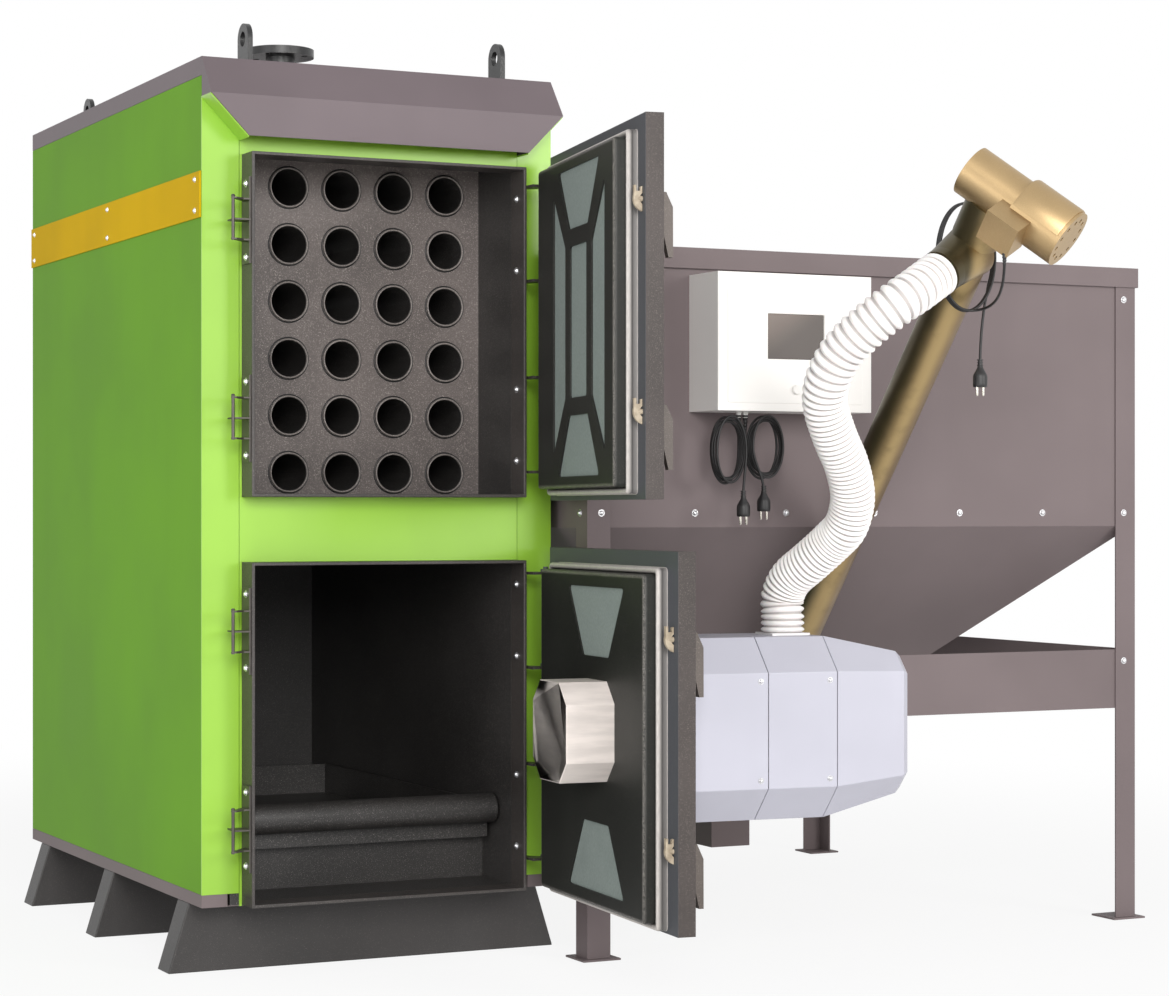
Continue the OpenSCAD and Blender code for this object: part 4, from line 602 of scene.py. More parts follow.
def skin(rings):
    """Faces between rings of equal length, with both ends closed."""
    sides, points, faces = len(rings[0]), [], []
    for one in rings:
        points += one
    for i in range(len(rings) - 1):
        faces += band(i * sides, (i + 1) * sides, sides)
    faces.append(tuple(range(sides))[::-1])
    faces.append(tuple((len(rings) - 1) * sides + k for k in range(sides)))
    return points, faces


def turned(name, profile, centre, direction, finish, sides):
    """Body turned round an axis. The profile is a list of (place along the axis, radius)."""
    across = side_of(direction)
    rings = [circle(centre + direction * z, *across, r, sides) for z, r in profile]
    return from_faces(name, *skin(rings), finish)


def steady_rings(path, radii, sides):
    """Rings along a path that don't twist about it."""
    rings, u = [], None
    for i, p in enumerate(path):
        ahead = (path[min(i + 1, len(path) - 1)] - path[max(i - 1, 0)]).normalized()
        if u is None:
            u, _ = side_of(ahead)
        u = (u - ahead * u.dot(ahead)).normalized()
        rings.append(circle(p, u, ahead.cross(u), radii[i], sides))
    return rings


def islands(name):
    """The separate bodies of a node's mesh, each as its faces' normals, areas and middles."""
    form = bmesh.new()
    form.from_mesh(nodes[name].data)
    bmesh.ops.remove_doubles(form, verts=form.verts, dist=1e-5)
    left, found = set(form.faces), []
    while left:
        queue, body = [left.pop()], []
        while queue:
            face = queue.pop()
            body.append(face)
            for edge in face.edges:
                for other in edge.link_faces:
                    if other in left:
                        left.remove(other)
                        queue.append(other)
        found.append([(f.normal.copy(), f.calc_area(), f.calc_center_median()) for f in body])
    form.free()
    return found


def screw_places(name):
    """Seat, outward direction and radius of each screw head in a node."""
    places = []
    for body in islands(name):
        flats = {}
        for normal, area, middle in body:
            key = tuple(round(c, 2) for c in normal)
            held = flats.setdefault(key, [0, Vector()])
            held[0] += area
            held[1] += area * middle
        key, (area, moment) = max(flats.items(), key=lambda kv: kv[1][0])
        places.append((moment / area, -Vector(key).normalized(), math.sqrt(area / math.pi)))
    return places


# Cords


TURN_STEPS = 24
HANK_TURNS, HANK_SAG = 5, 0.16
CORD_PITCH = 0.0062
GLAND_BACK = 0.045
GLAND_DROPS = (0.007, 0.022, 0.030)
PLUG_GAP = 0.024
LOOP_WIDE, LOOP_HIGH, LOOP_PITCH, LOOP_LEAN = 0.1093, 0.1924, 0.0064, 0.02
MOTOR_EXIT = Vector((-0.037, -0.157, -0.010))
LEAD_DROP, LEAD_REACH, LEAD_STEPS = 0.016, 0.060, 8


def bezier(p, t):
    """Point of a curve with four control points."""
    s = 1 - t
    return s**3 * p[0] + 3 * s * s * t * p[1] + 3 * s * t * t * p[2] + t**3 * p[3]


def route_at(p, t):
    """Smooth point of a route through its points."""
    i = min(int(t), len(p) - 2)
    f = t - i
    a, b, c, d = p[max(i - 1, 0)], p[i], p[i + 1], p[min(i + 2, len(p) - 1)]
    square, cube = 2 * a - 5 * b + 4 * c - d, 3 * b - a - 3 * c + d
    return 0.5 * (2 * b + (c - a) * f + square * f * f + cube * f**3)


def smoothed(points, times):
    """A smooth route through points, each stretch cut into a number of steps."""
    steps = (len(points) - 1) * times
    return [route_at(points, i / times) for i in range(steps + 1)]


def hank(middle, rx, rz, ahead, across, turns, pitch, lean=0, sag=0, more=0):
    """Turns of a hanging hank, one beside the other, and some more steps of the next. The lean
    tips its plane, and sag is the share by which the middle turns are smaller."""
    out = []
    for i in range(TURN_STEPS * turns + more + 1):
        n = i / TURN_STEPS
        a = 2 * math.pi * n
        size = 1 - sag * math.sin(math.pi * n / turns) ** 2
        out.append(
            middle
            + across * (rx * math.cos(a) - rx * (1 - size) * (1 - math.cos(a)) / 2)
            - UP * (rz * math.sin(a) * size)
            + ahead * (pitch * n + lean * rz * (1 + math.sin(a) * size))
        )
    return out


def drop(p, d, q, k):
    """A curve that leaves p along d and comes in to q straight down."""
    span = (q - p).length / 3
    return [bezier([p, p + d * span, q + UP * span, q], i / k) for i in range(1, k + 1)]


def box_cord(x, side, rx, rz, zc, shift):
    """Cord out of the box's gland, round a hank at one side of it and down to its plug."""
    y = BOX_FRONT_Y + GLAND_BACK
    ahead, across = Vector((0, -1, 0)), Vector((side, 0, 0))
    middle = Vector((x, y, zc)) - across * rx
    turns = hank(middle, rx, rz, ahead, across, HANK_TURNS, CORD_PITCH, sag=HANK_SAG)
    end = turns[-1]
    lead = [Vector((x, y, z)) for z in (*(BOX_Z - d for d in GLAND_DROPS), zc + LEAD_DROP)]
    return lead + turns + drop(end, -UP, end + Vector((shift, -CORD_PITCH, -rz - PLUG_GAP)), 10)


def motor_cord():
    """Cord out of the terminal box, round its loops on the auger and down to its plug."""

    def near_spout(across, ahead, up):
        return SPOUT_AT + AUGER_ACROSS * across + AUGER_DIR * ahead + UP * up

    exit_at = SPOUT_AT + MOTOR_EXIT
    held_at = exit_at - UP * LEAD_DROP
    turns = hank(
        near_spout(0.0087, -0.030, -0.0091), LOOP_WIDE / 2, LOOP_HIGH / 2, AUGER_DIR, AUGER_ACROSS,
        turns=3, pitch=-LOOP_PITCH, lean=LOOP_LEAN, more=2,
    )
    loop = turns[TURN_STEPS // 4 :]
    bend = [held_at, held_at - UP * LEAD_REACH, loop[0] + AUGER_ACROSS * LEAD_REACH, loop[0]]
    lead = [exit_at, (exit_at + held_at) / 2]
    lead += [bezier(bend, i / LEAD_STEPS) for i in range(LEAD_STEPS)]
    ahead = (loop[-1] - loop[-2]).normalized()
    return lead + loop + drop(loop[-1], ahead, near_spout(0.039, -0.045, -0.201), 8)


def length_of(points):
    return sum((b - a).length for a, b in zip(points, points[1:]))


def cord_line(name, points, finish):
    """Round cord as a curve of one open spline."""
    line = bpy.data.curves.new(name, "CURVE")
    line.dimensions = "3D"
    spline = line.splines.new("POLY")
    spline.points.add(len(points) - 1)
    for held, p in zip(spline.points, points):
        held.co = (*p, 1)
    line.bevel_depth = CORD_D / 2
    line.bevel_resolution = 3
    line.use_fill_caps = True
    line.materials.append(finish)
    return placed(name, line)


RELIEF_SLIM = 0.0031


def relief(name, path, along, wide, slim):
    """Tapered strain relief round the first part of a cord, with its five rings."""
    steps, rings, groove, out, radii = 40, 5, 0.0009, [], []
    total, spans = 0, []
    for a, b in zip(path, path[1:]):
        spans.append((total, a, b, (b - a).length))
        total += (b - a).length
    for i in range(steps + 1):
        t = i / steps
        start, a, b, span = next(one for one in spans if along * t <= one[0] + one[3] + 1e-9)
        out.append(a + (b - a) * ((along * t - start) / span))
        ridge = 0.5 + 0.5 * math.cos(2 * math.pi * rings * t)
        radii.append(wide + (slim - wide) * t - groove * (1 - ridge) * (0.1 < t < 0.95))
    return from_faces(name, *skin(steady_rings(out, radii, 20)), PLUG)


def plug(name, at):
    """Moulded round plug with a ribbed neck, and its two pins."""
    wide, high = 0.026, 0.040
    profile = [
        (0.010, 0.0029), (0.0096, 0.0056), (0.0080, 0.0058), (0.0076, 0.0040),
        (0.0052, 0.0040), (0.0048, 0.0055), (0.0034, 0.0055), (0.0030, 0.0041),
        (0.0004, 0.0042), (0.0, 0.0056), (-0.0014, 0.0056), (-0.0018, 0.0046),
        (-0.005, 0.0052), (-0.010, 0.0078), (-0.015, 0.0108), (-0.018, wide * 0.47),
        (-0.022, wide / 2), (-0.034, wide / 2), (-0.0385, wide * 0.49), (-high, wide * 0.45),
    ]
    body = turned(name, profile, at, UP, PLUG, 36)
    pin = [(0.002, 0.0024), (-0.0135, 0.0024), (-0.0152, 0.0019), (-0.016, 0.0009)]
    pins = [
        turned(f"{name}_pin_{i}", pin, at + Vector((s * wide / 4, 0, -high)), UP, PIN, 16)
        for i, s in ((1, -1), (2, 1))
    ]
    return [body, *pins]


def make_cord(name, points, plug_node, wide, reach):
    """A cord with its strain relief and its plug. The relief is widest at the cord's exit."""
    fine = smoothed(points, 3)
    cord = cord_line(f"{name}_line", fine, CORD)
    held = plug(plug_node + "_moulding", points[-1])
    sleeve = relief(f"{name}_relief", fine, reach, wide, RELIEF_SLIM)
    for piece in [cord, sleeve, *held]:
        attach(piece, "root")
    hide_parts(name)
    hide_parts(plug_node)
    length_of(fine)


HANK_Z = BOX_Z - 0.075
make_cord(
    "power_cord",
    box_cord(BOX_X + 0.070, 1, 0.031, 0.065, HANK_Z, -0.010),
    "power_plug", wide=0.0056, reach=0.034,
)
make_cord(
    "signal_cord",
    box_cord(BOX_X + 0.085, -1, 0.034, 0.061, HANK_Z + 0.006, 0.020),
    "signal_plug", wide=0.0056, reach=0.034,
)
make_cord("auger_cord", motor_cord(), "auger_plug", wide=0.0058, reach=0.030)

# Feed hose


def hose_points():
    """Points of the hose's middle line: straight out of the spout, down in a bow (in millimetres
    from the spout's mouth) and on to the inlet (in millimetres from the hose's end)."""
    start = SPOUT_AT + SPOUT_LENGTH * SPOUT_DIR
    end = LOWER_DOOR @ Vector((BURNER_X, INLET_Y, INLET_Z))
    straight = [start + SPOUT_DIR * s for s in (0, 0.040, 0.080)]
    bow = [
        (-104, -20, -60), (-142, 10, -97), (-168, 47, -137), (-178, 80, -182), (-168, 110, -227),
        (-136, 132, -282), (-96, 154, -337), (-68, 180, -392), (-60, 214, -442),
    ]
    last = [(40, -112, 170), (20, -66, 132), (5, -22, 100), (0, 0, 66), (0, 0, 33), (0, 0, 0)]
    bow = [start + Vector(d) * MM for d in bow]
    return straight + bow + [end + Vector(d) * MM for d in last]


class Tree:
    """A Geometry Nodes tree with named sizes, used once and then turned into a mesh."""

    def __init__(self, name, sizes):
        self.tree = bpy.data.node_groups.new(name, "GeometryNodeTree")
        face = self.tree.interface
        for way in ("INPUT", "OUTPUT"):
            face.new_socket("Geometry", in_out=way, socket_type="NodeSocketGeometry")
        self.known = []
        for title, value in sizes.items():
            kind = "NodeSocketInt" if isinstance(value, int) else "NodeSocketFloat"
            held = face.new_socket(title, in_out="INPUT", socket_type=kind)
            held.default_value = value
            self.known.append((held.identifier, value))
        self.inside = self.tree.nodes.new("NodeGroupInput")
        self.outside = self.tree.nodes.new("NodeGroupOutput")

    def size(self, title):
        return self.inside.outputs[title]

    def add(self, kind, sockets, **settings):
        return wired(self.tree, kind, sockets, settings).outputs[0]

    def mark(self, title, kind="FLOAT"):
        """A value that each point of the carrying mesh holds."""
        return self.add("GeometryNodeInputNamedAttribute", {"Name": title}, data_type=kind)

    def ring(self, sides, radius):
        sockets = {"Resolution": sides, "Radius": radius}
        return self.add("GeometryNodeCurvePrimitiveCircle", sockets)

    def maths(self, operation, first, second=0.0):
        return self.add("ShaderNodeMath", {0: first, 1: second}, operation=operation)

    def finish(self, geometry, material):
        real = self.add("GeometryNodeRealizeInstances", {0: geometry})
        done = self.add("GeometryNodeSetMaterial", {"Geometry": real, "Material": material})
        self.tree.links.new(done, self.outside.inputs[0])

    def spread(self, material, **sockets):
        """Ends the tree in copies of one thing, set on the points of the carrying mesh."""
        base = {"Mesh": self.inside.outputs[0], "Radius": 0.001}
        points = self.add("GeometryNodeMeshToPoints", base)
        copies = self.add("GeometryNodeInstanceOnPoints", {"Points": points, **sockets})
        self.finish(copies, material)

    def made(self, name, points, edges=(), **marks):
        """The tree's result on points that hold the marked values, as a plain mesh piece."""
        mesh = bpy.data.meshes.new(name + "_places")
        mesh.from_pydata([tuple(p) for p in points], edges, [])
        for title, values in marks.items():
            vectors = isinstance(values[0], Vector)
            held = mesh.attributes.new(title, "FLOAT_VECTOR" if vectors else "FLOAT", "POINT")
            for one, value in zip(held.data, values):
                setattr(one, "vector" if vectors else "value", value)
        carrier = placed(name + "_places", mesh)
        step = carrier.modifiers.new("tree", "NODES")
        step.node_group = self.tree
        for identifier, value in self.known:
            step[identifier] = value
        seen = carrier.evaluated_get(bpy.context.evaluated_depsgraph_get())
        made = bpy.data.meshes.new_from_object(seen)
        bpy.data.objects.remove(carrier)
        made.name = name
        return placed(name, made)


def hose_tree(rows):
    """Ribbed hose along a line: its radius rises and falls once for each whole phase."""
    sizes = {"Rows": rows, "Root radius": 0.0338, "Rib height": 0.0067, "Sides": 40}
    tree = Tree("ribbed_hose", sizes)
    drawn = tree.add("GeometryNodeMeshToCurve", {0: tree.inside.outputs[0]})
    line = tree.add("GeometryNodeResampleCurve", {"Curve": drawn, "Count": tree.size("Rows")})
    turn = tree.maths("MULTIPLY", tree.mark("phase"), 2 * math.pi)
    swell = tree.maths("SUBTRACT", 0.5, tree.maths("MULTIPLY", tree.maths("COSINE", turn), 0.5))
    crest = tree.maths("POWER", swell, 0.62)
    rib = tree.maths("MULTIPLY", crest, tree.size("Rib height"))
    radius = tree.maths("ADD", rib, tree.size("Root radius"))
    section = tree.ring(tree.size("Sides"), 1.0)
    wall = tree.add(
        "GeometryNodeCurveToMesh",
        {"Curve": line, "Profile Curve": section, "Scale": radius, "Fill Caps": True},
    )
    smooth = tree.add("GeometryNodeSetShadeSmooth", {"Geometry": wall})
    tree.finish(smooth, HOSE)
    return tree


HOSE_ROW = 0.0014
WIDE_PITCH, CLOSE_PITCH, FOOT_PITCH = 0.0165, 0.0098, 0.0118
CLOSING, FOOT = (0.30, 0.44), (0.89, 0.92)


def ramp(value, low, high):
    """0 below low and 1 above high, straight between."""
    return min(1, max(0, (value - low) / (high - low)))


def rib_phases(route, length):
    """Count of ribs up to each point: stretched from the spout, drawn together lower down."""
    phases, done = [0.0], 0.0
    for a, b in zip(route, route[1:]):
        step = (b - a).length
        share = (done + step / 2) / length
        pitch = WIDE_PITCH + (CLOSE_PITCH - WIDE_PITCH) * ramp(share, *CLOSING)
        pitch += (FOOT_PITCH - CLOSE_PITCH) * ramp(share, *FOOT)
        phases.append(phases[-1] + step / pitch)
        done += step
    whole = round(phases[-1]) / phases[-1]
    return [value * whole for value in phases]


def make_hose():
    """The hose, which bends between the auger's spout and the burner on the lower door."""
    route = smoothed(hose_points(), 12)
    length = length_of(route)
    edges = [(i, i + 1) for i in range(len(route) - 1)]
    hose = hose_tree(int(length / HOSE_ROW)).made(
        "feed_hose_ribbed", route, edges, phase=rib_phases(route, length)
    )
    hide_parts("feed_hose")
    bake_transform(hose)
    [tuple(p) for p in smoothed(hose_points(), 4)]


make_hose()

# Doors' plates and seals


CORNER_STEPS = 3


def rounded(corners, radius):
    """An outline with its corners rounded, corner by corner the same number of points."""
    out = []
    for i, corner in enumerate(corners):
        a, b, c = (Vector(p) for p in (corners[i - 1], corner, corners[(i + 1) % len(corners)]))
        u, v = (a - b).normalized(), (c - b).normalized()
        room = 0.45 * min((a - b).length, (c - b).length)
        cut = min(radius / math.tan(u.angle(v) / 2), room)
        for k in range(CORNER_STEPS + 1):
            t = k / CORNER_STEPS
            out.append((1 - t) ** 2 * (b + u * cut) + 2 * t * (1 - t) * b + t * t * (b + v * cut))
    return out


def rectangle(x, z, wide, high, radius):
    """Rounded rectangle about a middle, by its half sizes."""
    return rounded(
        [(x - wide, z - high), (x + wide, z - high), (x + wide, z + high), (x - wide, z + high)],
        max(radius, 0.0004),
    )


def sheet_form(name, loops, holes, place, finish):
    """Closed sheet. Its loops run from the back face's edge round to the front face's edge, each a
    list of flat points with its depth, and each hole goes through both faces."""
    points, faces, tones = [], [], []

    def put(flat, y, tone):
        first = len(points)
        points.extend(place @ Vector((p[0], y, p[1])) for p in flat)
        tones.extend([tone] * len(flat))
        return first

    starts = [put(flat, y, tone) for flat, y, tone in loops]
    n = len(loops[0][0])
    for a, b in zip(starts, starts[1:]):
        faces += band(a, b, n)
    back, front = loops[0][1], loops[-1][1]
    ends = []
    for flat, y, first in ((loops[0][0], back, starts[0]), (loops[-1][0], front, starts[-1])):
        known = list(range(first, first + n))
        rims = []
        for hole in holes:
            rims.append(put(hole, y, 0.0))
            known += range(rims[-1], rims[-1] + len(hole))
        filled = tessellate_polygon([[Vector((*p, 0)) for p in loop] for loop in (flat, *holes)])
        faces += [tuple(known[i] for i in face) for face in filled]
        ends.append(rims)
    for hole, a, b in zip(holes, *ends):
        faces += band(a, b, len(hole))
    return toned(name, points, faces, tones, finish, "worn")


def toned(name, points, faces, tones, finish, title):
    """A closed mesh with one value at each of its points, which its finish reads."""
    piece = from_faces(name, points, faces, finish)
    held = piece.data.attributes.new(title, "FLOAT", "POINT")
    near = KDTree(len(points))
    for i, p in enumerate(points):
        near.insert(p, i)
    near.balance()
    for i, corner in enumerate(piece.data.vertices):
        held.data[i].value = tones[near.find(corner.co)[1]]
    return piece


TRAY_X, TRAY_Z = 0.263, 0.303
SEAL_X, SEAL_Z = 0.275, 0.315
FLANGE_Y, TRAY_Y = -0.677, -0.637
WALL, FOLD, FADE = 0.003, 0.006, 0.002
TRAY_CORNER, SEAL_CORNER, LEVEL_PAINTED_LIGHT = 0.008, 0.010, 0.85
WINDOW_X = -0.030
UPPER_MID, LOWER_MID = 1.207, 0.450
NOZZLE_W, NOZZLE_H, NOZZLE_CUT = 0.1766, 0.1806, 0.038


def window(corners, mid):
    """Rounded cut-out whose corners are in millimetres from the middle of the plate's pattern."""
    return rounded([(WINDOW_X + x * MM, mid + z * MM) for x, z in corners], 0.006)


def end_window(side, near, far, mid):
    """Cut-out at a plate's upper or lower end, wider at its far edge."""
    near, far = side * near, side * far
    return window([(-64, near), (64, near), (139, far), (-139, far)][::side], mid)


def upper_windows(mid):
    """The upper plate's cut-outs: one at each of its four edges and one in its middle."""
    sides = [
        window([(s * 89, -138), (s * 175, -242), (s * 175, 242), (s * 89, 138)][::s], mid)
        for s in (-1, 1)
    ]
    middle = window([(-56, -138), (56, -138), (56, 138), (-56, 138)], mid)
    return [end_window(s, 170, 281, mid) for s in (-1, 1)] + sides + [middle]


def lower_windows(mid):
    """The lower plate's cut-outs: one at each end, and the nozzle's with its cut corners."""
    w, h, c = NOZZLE_W / 2, NOZZLE_H / 2, NOZZLE_CUT
    corners = [
        (-w + c, -h), (w - c, -h), (w, -h + c), (w, h - c), (w - c, h), (-w + c, h),
        (-w, h - c), (-w, -h + c),
    ]
    hole = [Vector((BURNER_X + x, BURNER_Z + z)) for x, z in corners]
    return [end_window(s, 150, 276, mid) for s in (-1, 1)] + [hole]


def make_plate(node, mid, windows, door, body):
    """Pressed tray with rounded cut-outs and folded edges, which bear the most wear."""

    def loop(inset, y, tone=0.0):
        return rectangle(0, mid, TRAY_X - inset, TRAY_Z - inset, TRAY_CORNER - inset), y, tone

    loops = [loop(FOLD, TRAY_Y - WALL), loop(WALL, TRAY_Y - FOLD), loop(WALL, FLANGE_Y)]
    loops += [loop(0, FLANGE_Y), loop(0, TRAY_Y - FOLD - FADE)]
    for k, tone in enumerate((0.0, 0.5, 1.0, 0.6)):
        a = math.radians(30 * k)
        loops.append(loop(FOLD * (1 - math.cos(a)), TRAY_Y - FOLD + FOLD * math.sin(a), tone))
    loops.append(loop(FOLD + FADE, TRAY_Y))
    piece = sheet_form(node + "_pressed", loops, windows(mid), door, PLATE)
    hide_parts(node)
    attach(piece, body)


# The seal's section: how far in from its outer edge, how deep, and the tone of its cover, which
# paints a highlight along the crest and whitens the lip
SEAL_PROFILE = [
    (0.0120, -0.6772, 0.2), (-0.0006, -0.6772, 1.0), (-0.0006, -0.6764, 1.0),
    (0.0002, -0.6760, 0.3), (0.0004, -0.6700, 0.05), (0.0004, -0.6690, 0.05),
    (0.0012, -0.6684, 0.0), (0.0003, -0.6670, 0.1), (0.0000, -0.6648, 0.25),
    (0.0003, -0.6620, 0.55), (0.0012, -0.6597, 0.9), (0.0030, -0.6579, 1.0),
    (0.0055, -0.6572, 0.8), (0.0080, -0.6578, 0.35), (0.0098, -0.6600, 0.1),
    (0.0104, -0.6640, 0.0), (0.0104, -0.6755, 0.0),
]


def make_seal(node, mid, door, body):
    """Rope seal in its carrier: a lip on the flange, a flat side and a round crest."""
    points, faces, tones = [], [], []
    for inset, y, tone in SEAL_PROFILE:
        flat = rectangle(0, mid, SEAL_X - inset, SEAL_Z - inset, SEAL_CORNER - inset / 2)
        for p in flat:
            # Level runs at the top and bottom are lightened as painted light
            level = abs(p[1] - mid) > SEAL_Z - inset - 0.0001
            points.append(door @ Vector((p[0], y, p[1])))
            tones.append(max(tone, LEVEL_PAINTED_LIGHT if level else 0.0))
    n, rows = len(flat), len(SEAL_PROFILE)
    for i in range(rows):
        faces += band(i * n, (i + 1) % rows * n, n)
    piece = toned(node + "_rope", points, faces, tones, SEAL, "tone")
    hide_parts(node)
    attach(piece, body)


make_plate("upper_door_plate", UPPER_MID, upper_windows, UPPER_DOOR, "upper_door")
make_plate("lower_door_plate", LOWER_MID, lower_windows, LOWER_DOOR, "lower_door")
make_seal("upper_door_seal", UPPER_MID, UPPER_DOOR, "upper_door")
make_seal("lower_door_seal", LOWER_MID, LOWER_DOOR, "lower_door")

# Control box door


DISPLAY_MID = (0.7675, 1.201)
DISPLAY_HALF = (0.0645, 0.0455)
LEAF_SIDE, LEAF_END = 0.021, 0.015


def make_box_door():
    """Door leaf of the control box, a hair proud of the box, with its display's opening."""
    x, z = BOX_X + BOX_W / 2, BOX_Z + BOX_H / 2

    def loop(inset, y):
        half = (BOX_W / 2 - LEAF_SIDE - inset, BOX_H / 2 - LEAF_END - inset)
        return rectangle(x, z, *half, 0.004 - inset), y, 0.0

    loops = [
        loop(0, BOX_FRONT_Y + 0.0002), loop(0, BOX_FRONT_Y - 0.0010),
        loop(0.0006, BOX_FRONT_Y - 0.0016),
    ]
    opening = rectangle(*DISPLAY_MID, *DISPLAY_HALF, 0.002)
    leaf = sheet_form("control_box_leaf", loops, [opening], Matrix.Identity(4), WHITE)
    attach(leaf, "root")


make_box_door()

# Tube rims


def rim_tree(name, radius, thick, finish):
    """A round bead set on each point, facing the front."""
    tree = Tree(name, {"Ring radius": radius, "Bead radius": thick})
    path = tree.ring(40, tree.size("Ring radius"))
    section = tree.ring(8, tree.size("Bead radius"))
    bead = tree.add("GeometryNodeCurveToMesh", {"Curve": path, "Profile Curve": section})
    bead = tree.add("GeometryNodeSetShadeSmooth", {"Geometry": bead})
    front = {"Geometry": bead, "Rotation": (math.pi / 2, 0, 0)}
    tree.spread(finish, Instance=tree.add("GeometryNodeTransform", front))
    return tree


TUBE_X, TUBE_PITCH_X, TUBE_Z, TUBE_PITCH_Z = -0.129, 0.109, 0.9375, 0.110
TUBE_MOUTH_Y, TUBE_SHEET_Y = -0.4445, -0.4405


def make_rims(name, radius, thick, y, finish):
    """A bead round each fire tube's mouth, or round its place in the tube sheet."""
    places = [
        (TUBE_X + TUBE_PITCH_X * i, y, TUBE_Z + TUBE_PITCH_Z * k)
        for i in range(4) for k in range(6)
    ]
    piece = rim_tree(name, radius, thick, finish).made(name, places)
    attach(piece, "root")


make_rims("tube_rims", 0.0372, 0.0017, TUBE_MOUTH_Y, RIM)
# Black beads round the tubes' places in the tube sheet, which paint the shade of the grooves there
make_rims("tube_groove_shade_rings", 0.0406, 0.0012, TUBE_SHEET_Y, BLACK)

# Motor shell

SHELL_STEPS = 28
SHELL_REACH = math.radians(92)
SHELL_PROFILE = [
    (0.0515, 0.052), (0.0543, 0.052), (0.0553, 0.055),
    (0.0553, 0.145), (0.0543, 0.148), (0.0515, 0.148),
]


def make_motor_shell():
    """Raised half shell on the motor, whose lower edges make its long seam. The profile is a list
    of (radius, place along the motor)."""
    upright = DRIVE.to_3x3().inverted() @ UP
    mid = math.atan2(upright.y, upright.x)
    rings = []
    for k in range(SHELL_STEPS + 1):
        a = mid + SHELL_REACH * (2 * k / SHELL_STEPS - 1)
        rings.append(
            [DRIVE @ Vector((r * math.cos(a), r * math.sin(a), z)) for r, z in SHELL_PROFILE]
        )
    shell = from_faces("motor_shell", *skin(rings), GOLD)
    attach(shell, "root")


make_motor_shell()

# Screws


def screw_tree():
    """Domed screw on its washer, in washer radii, set on each point along the point's axis."""
    tree = Tree("domed_screws", {"Washer radius": 1.0, "Washer height": 0.16, "Sides": 20})
    washer = tree.add(
        "GeometryNodeMeshCylinder",
        {"Vertices": tree.size("Sides"), "Radius": tree.size("Washer radius"),
         "Depth": tree.size("Washer height")},
    )
    flange = tree.add(
        "GeometryNodeMeshCone",
        {"Vertices": 6, "Radius Bottom": 0.86, "Radius Top": 0.80, "Depth": 0.22},
    )
    ball = tree.add("GeometryNodeMeshUVSphere", {"Segments": 18, "Rings": 10, "Radius": 0.74})
    ball = tree.add(
        "GeometryNodeTransform",
        {"Geometry": ball, "Scale": (1, 1, 0.85), "Translation": (0, 0, 0.12)},
    )
    ball = tree.add("GeometryNodeSetShadeSmooth", {"Geometry": ball})
    join = tree.tree.nodes.new("GeometryNodeJoinGeometry")
    for part in (washer, flange, ball):
        tree.tree.links.new(part, join.inputs[0])
    lift = tree.add(
        "GeometryNodeTransform", {"Geometry": join.outputs[0], "Translation": (0, 0, 0.08)}
    )
    axis = tree.mark("axis", "FLOAT_VECTOR")
    turn = tree.add("FunctionNodeAlignRotationToVector", {"Vector": axis}, axis="Z")
    tree.spread(ZINC, Instance=lift, Rotation=turn, Scale=tree.mark("size"))
    return tree


def make_screws(name, node, body):
    """Domed screws in the place of a node's screw heads."""
    seats, ways, radii = zip(*screw_places(node))
    piece = screw_tree().made(name, seats, axis=ways, size=radii)
    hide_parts(node)
    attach(piece, body)


make_screws("panel_screws_domed", "panel_bolts", "root")
make_screws("burner_screws_domed", "burner_screws", "lower_door")

# Light, floor and backdrop


def area(name, place, seen, size, power, tint=(1, 1, 1)):
    """Square lamp at a place that faces the point seen."""
    lamp = bpy.data.lights.new(name, "AREA")
    lamp.shape, lamp.size, lamp.energy, lamp.color = "SQUARE", size, power, tint
    aim(placed(name, lamp), place, Vector(seen) - Vector(place))


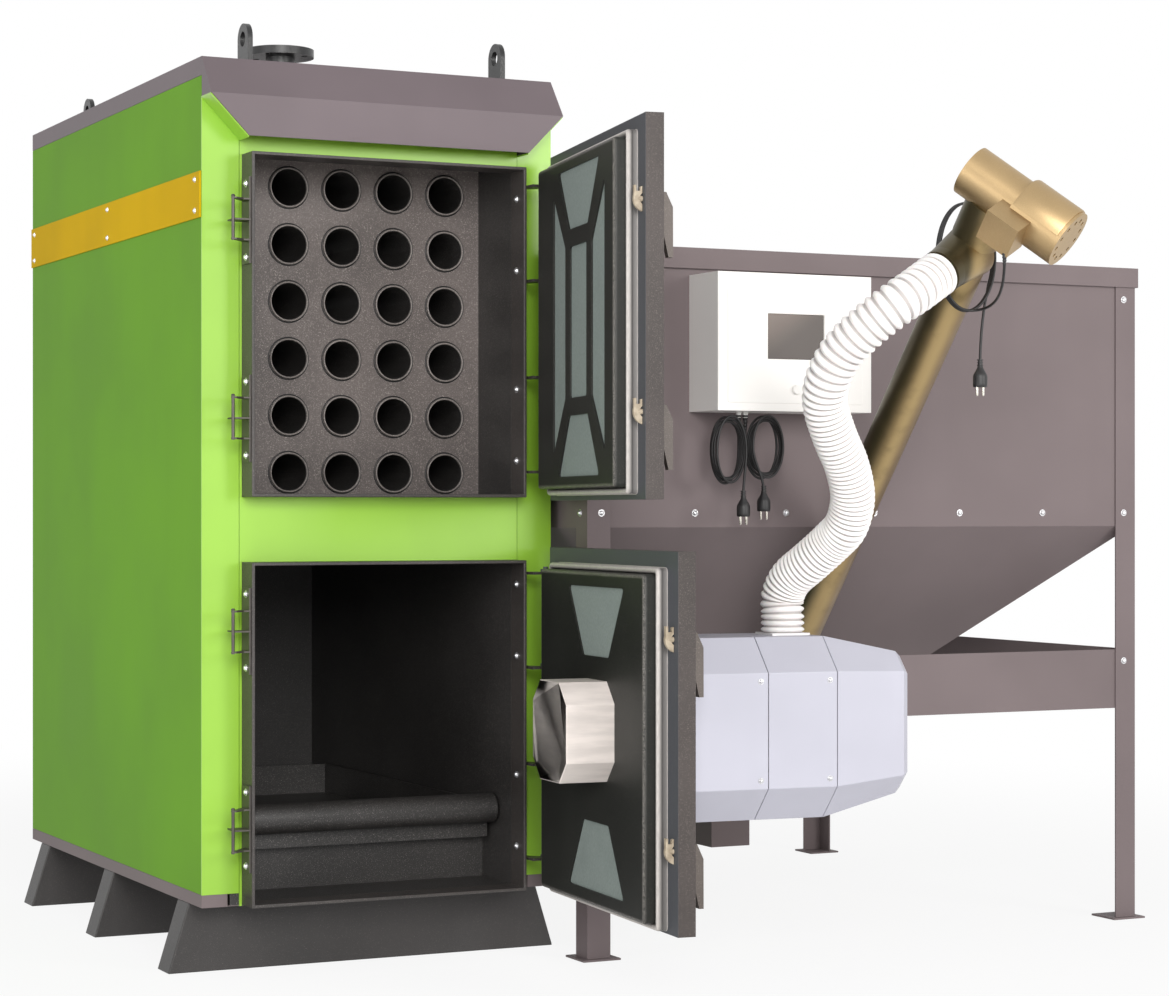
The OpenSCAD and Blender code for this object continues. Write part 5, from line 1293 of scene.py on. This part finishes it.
def rays(f):
    """1 for the rays that see the backdrop rather than its light."""
    node = f.tree.nodes.new("ShaderNodeLightPath")
    camera, glossy, through = (
        Value(f, node.outputs[f"Is {kind} Ray"]) for kind in ("Camera", "Glossy", "Transmission")
    )
    return (camera + glossy + through) > 0.5


def set_world():
    """Backdrop that is seen as white and lights the boiler softly."""
    world = bpy.data.worlds.new("pale_studio")
    bpy.context.scene.world = world
    world.use_nodes = True
    f = Nodes(world.node_tree, "ShaderNodeOutputWorld")
    white = f.add("ShaderNodeBackground", {0: (1, 1, 1, 1), 1: 1.0})
    soft = f.add("ShaderNodeBackground", {0: (1, 1, 1, 1), 1: 0.42})
    f.end(f.add("ShaderNodeMixShader", {0: rays(f), 1: soft, 2: white}))


FLOOR_HALF, FLOOR_NEAR, FLOOR_FAR = 25, 1.6, 4.5


def set_floor():
    """Pale floor that takes shadows near the boiler and goes over to white far from it."""
    f = Finish("pale_floor")
    pale = f.add("ShaderNodeBsdfDiffuse", {0: (0.92, 0.92, 0.92, 1)})
    white = f.add("ShaderNodeEmission", {0: (1, 1, 1, 1), 1: 1.0})
    x, y, _ = f.parts(f.place())
    away = f.add("ShaderNodeMath", {0: x * x + y * y}, operation="SQRT")
    far = away.within(FLOOR_NEAR, FLOOR_FAR)
    share = rays(f) * (0.88 + far * 0.12)
    f.end(f.add("ShaderNodeMixShader", {0: share, 1: pale, 2: white}))
    mesh = bpy.data.meshes.new("studio_floor")
    k = FLOOR_HALF
    mesh.from_pydata([(-k, -k, 0), (k, -k, 0), (k, k, 0), (-k, k, 0)], [], [(0, 1, 2, 3)])
    shown("studio_floor", mesh, f.material)


set_world()
set_floor()
area("key_light", (2.9, -5.4, 1.9), (0.4, -0.3, 0.9), 1.8, 95, (1, 0.985, 0.965))
area("front_fill", (-1.6, -6.4, 2.4), (0.3, -0.2, 0.9), 2.4, 245, (1, 0.99, 0.975))
area("side_fill", (-4.5, -2.4, 1.5), (-0.1, -0.5, 0.8), 2.2, 60)

bpy.context.scene.view_settings.view_transform = "Standard"
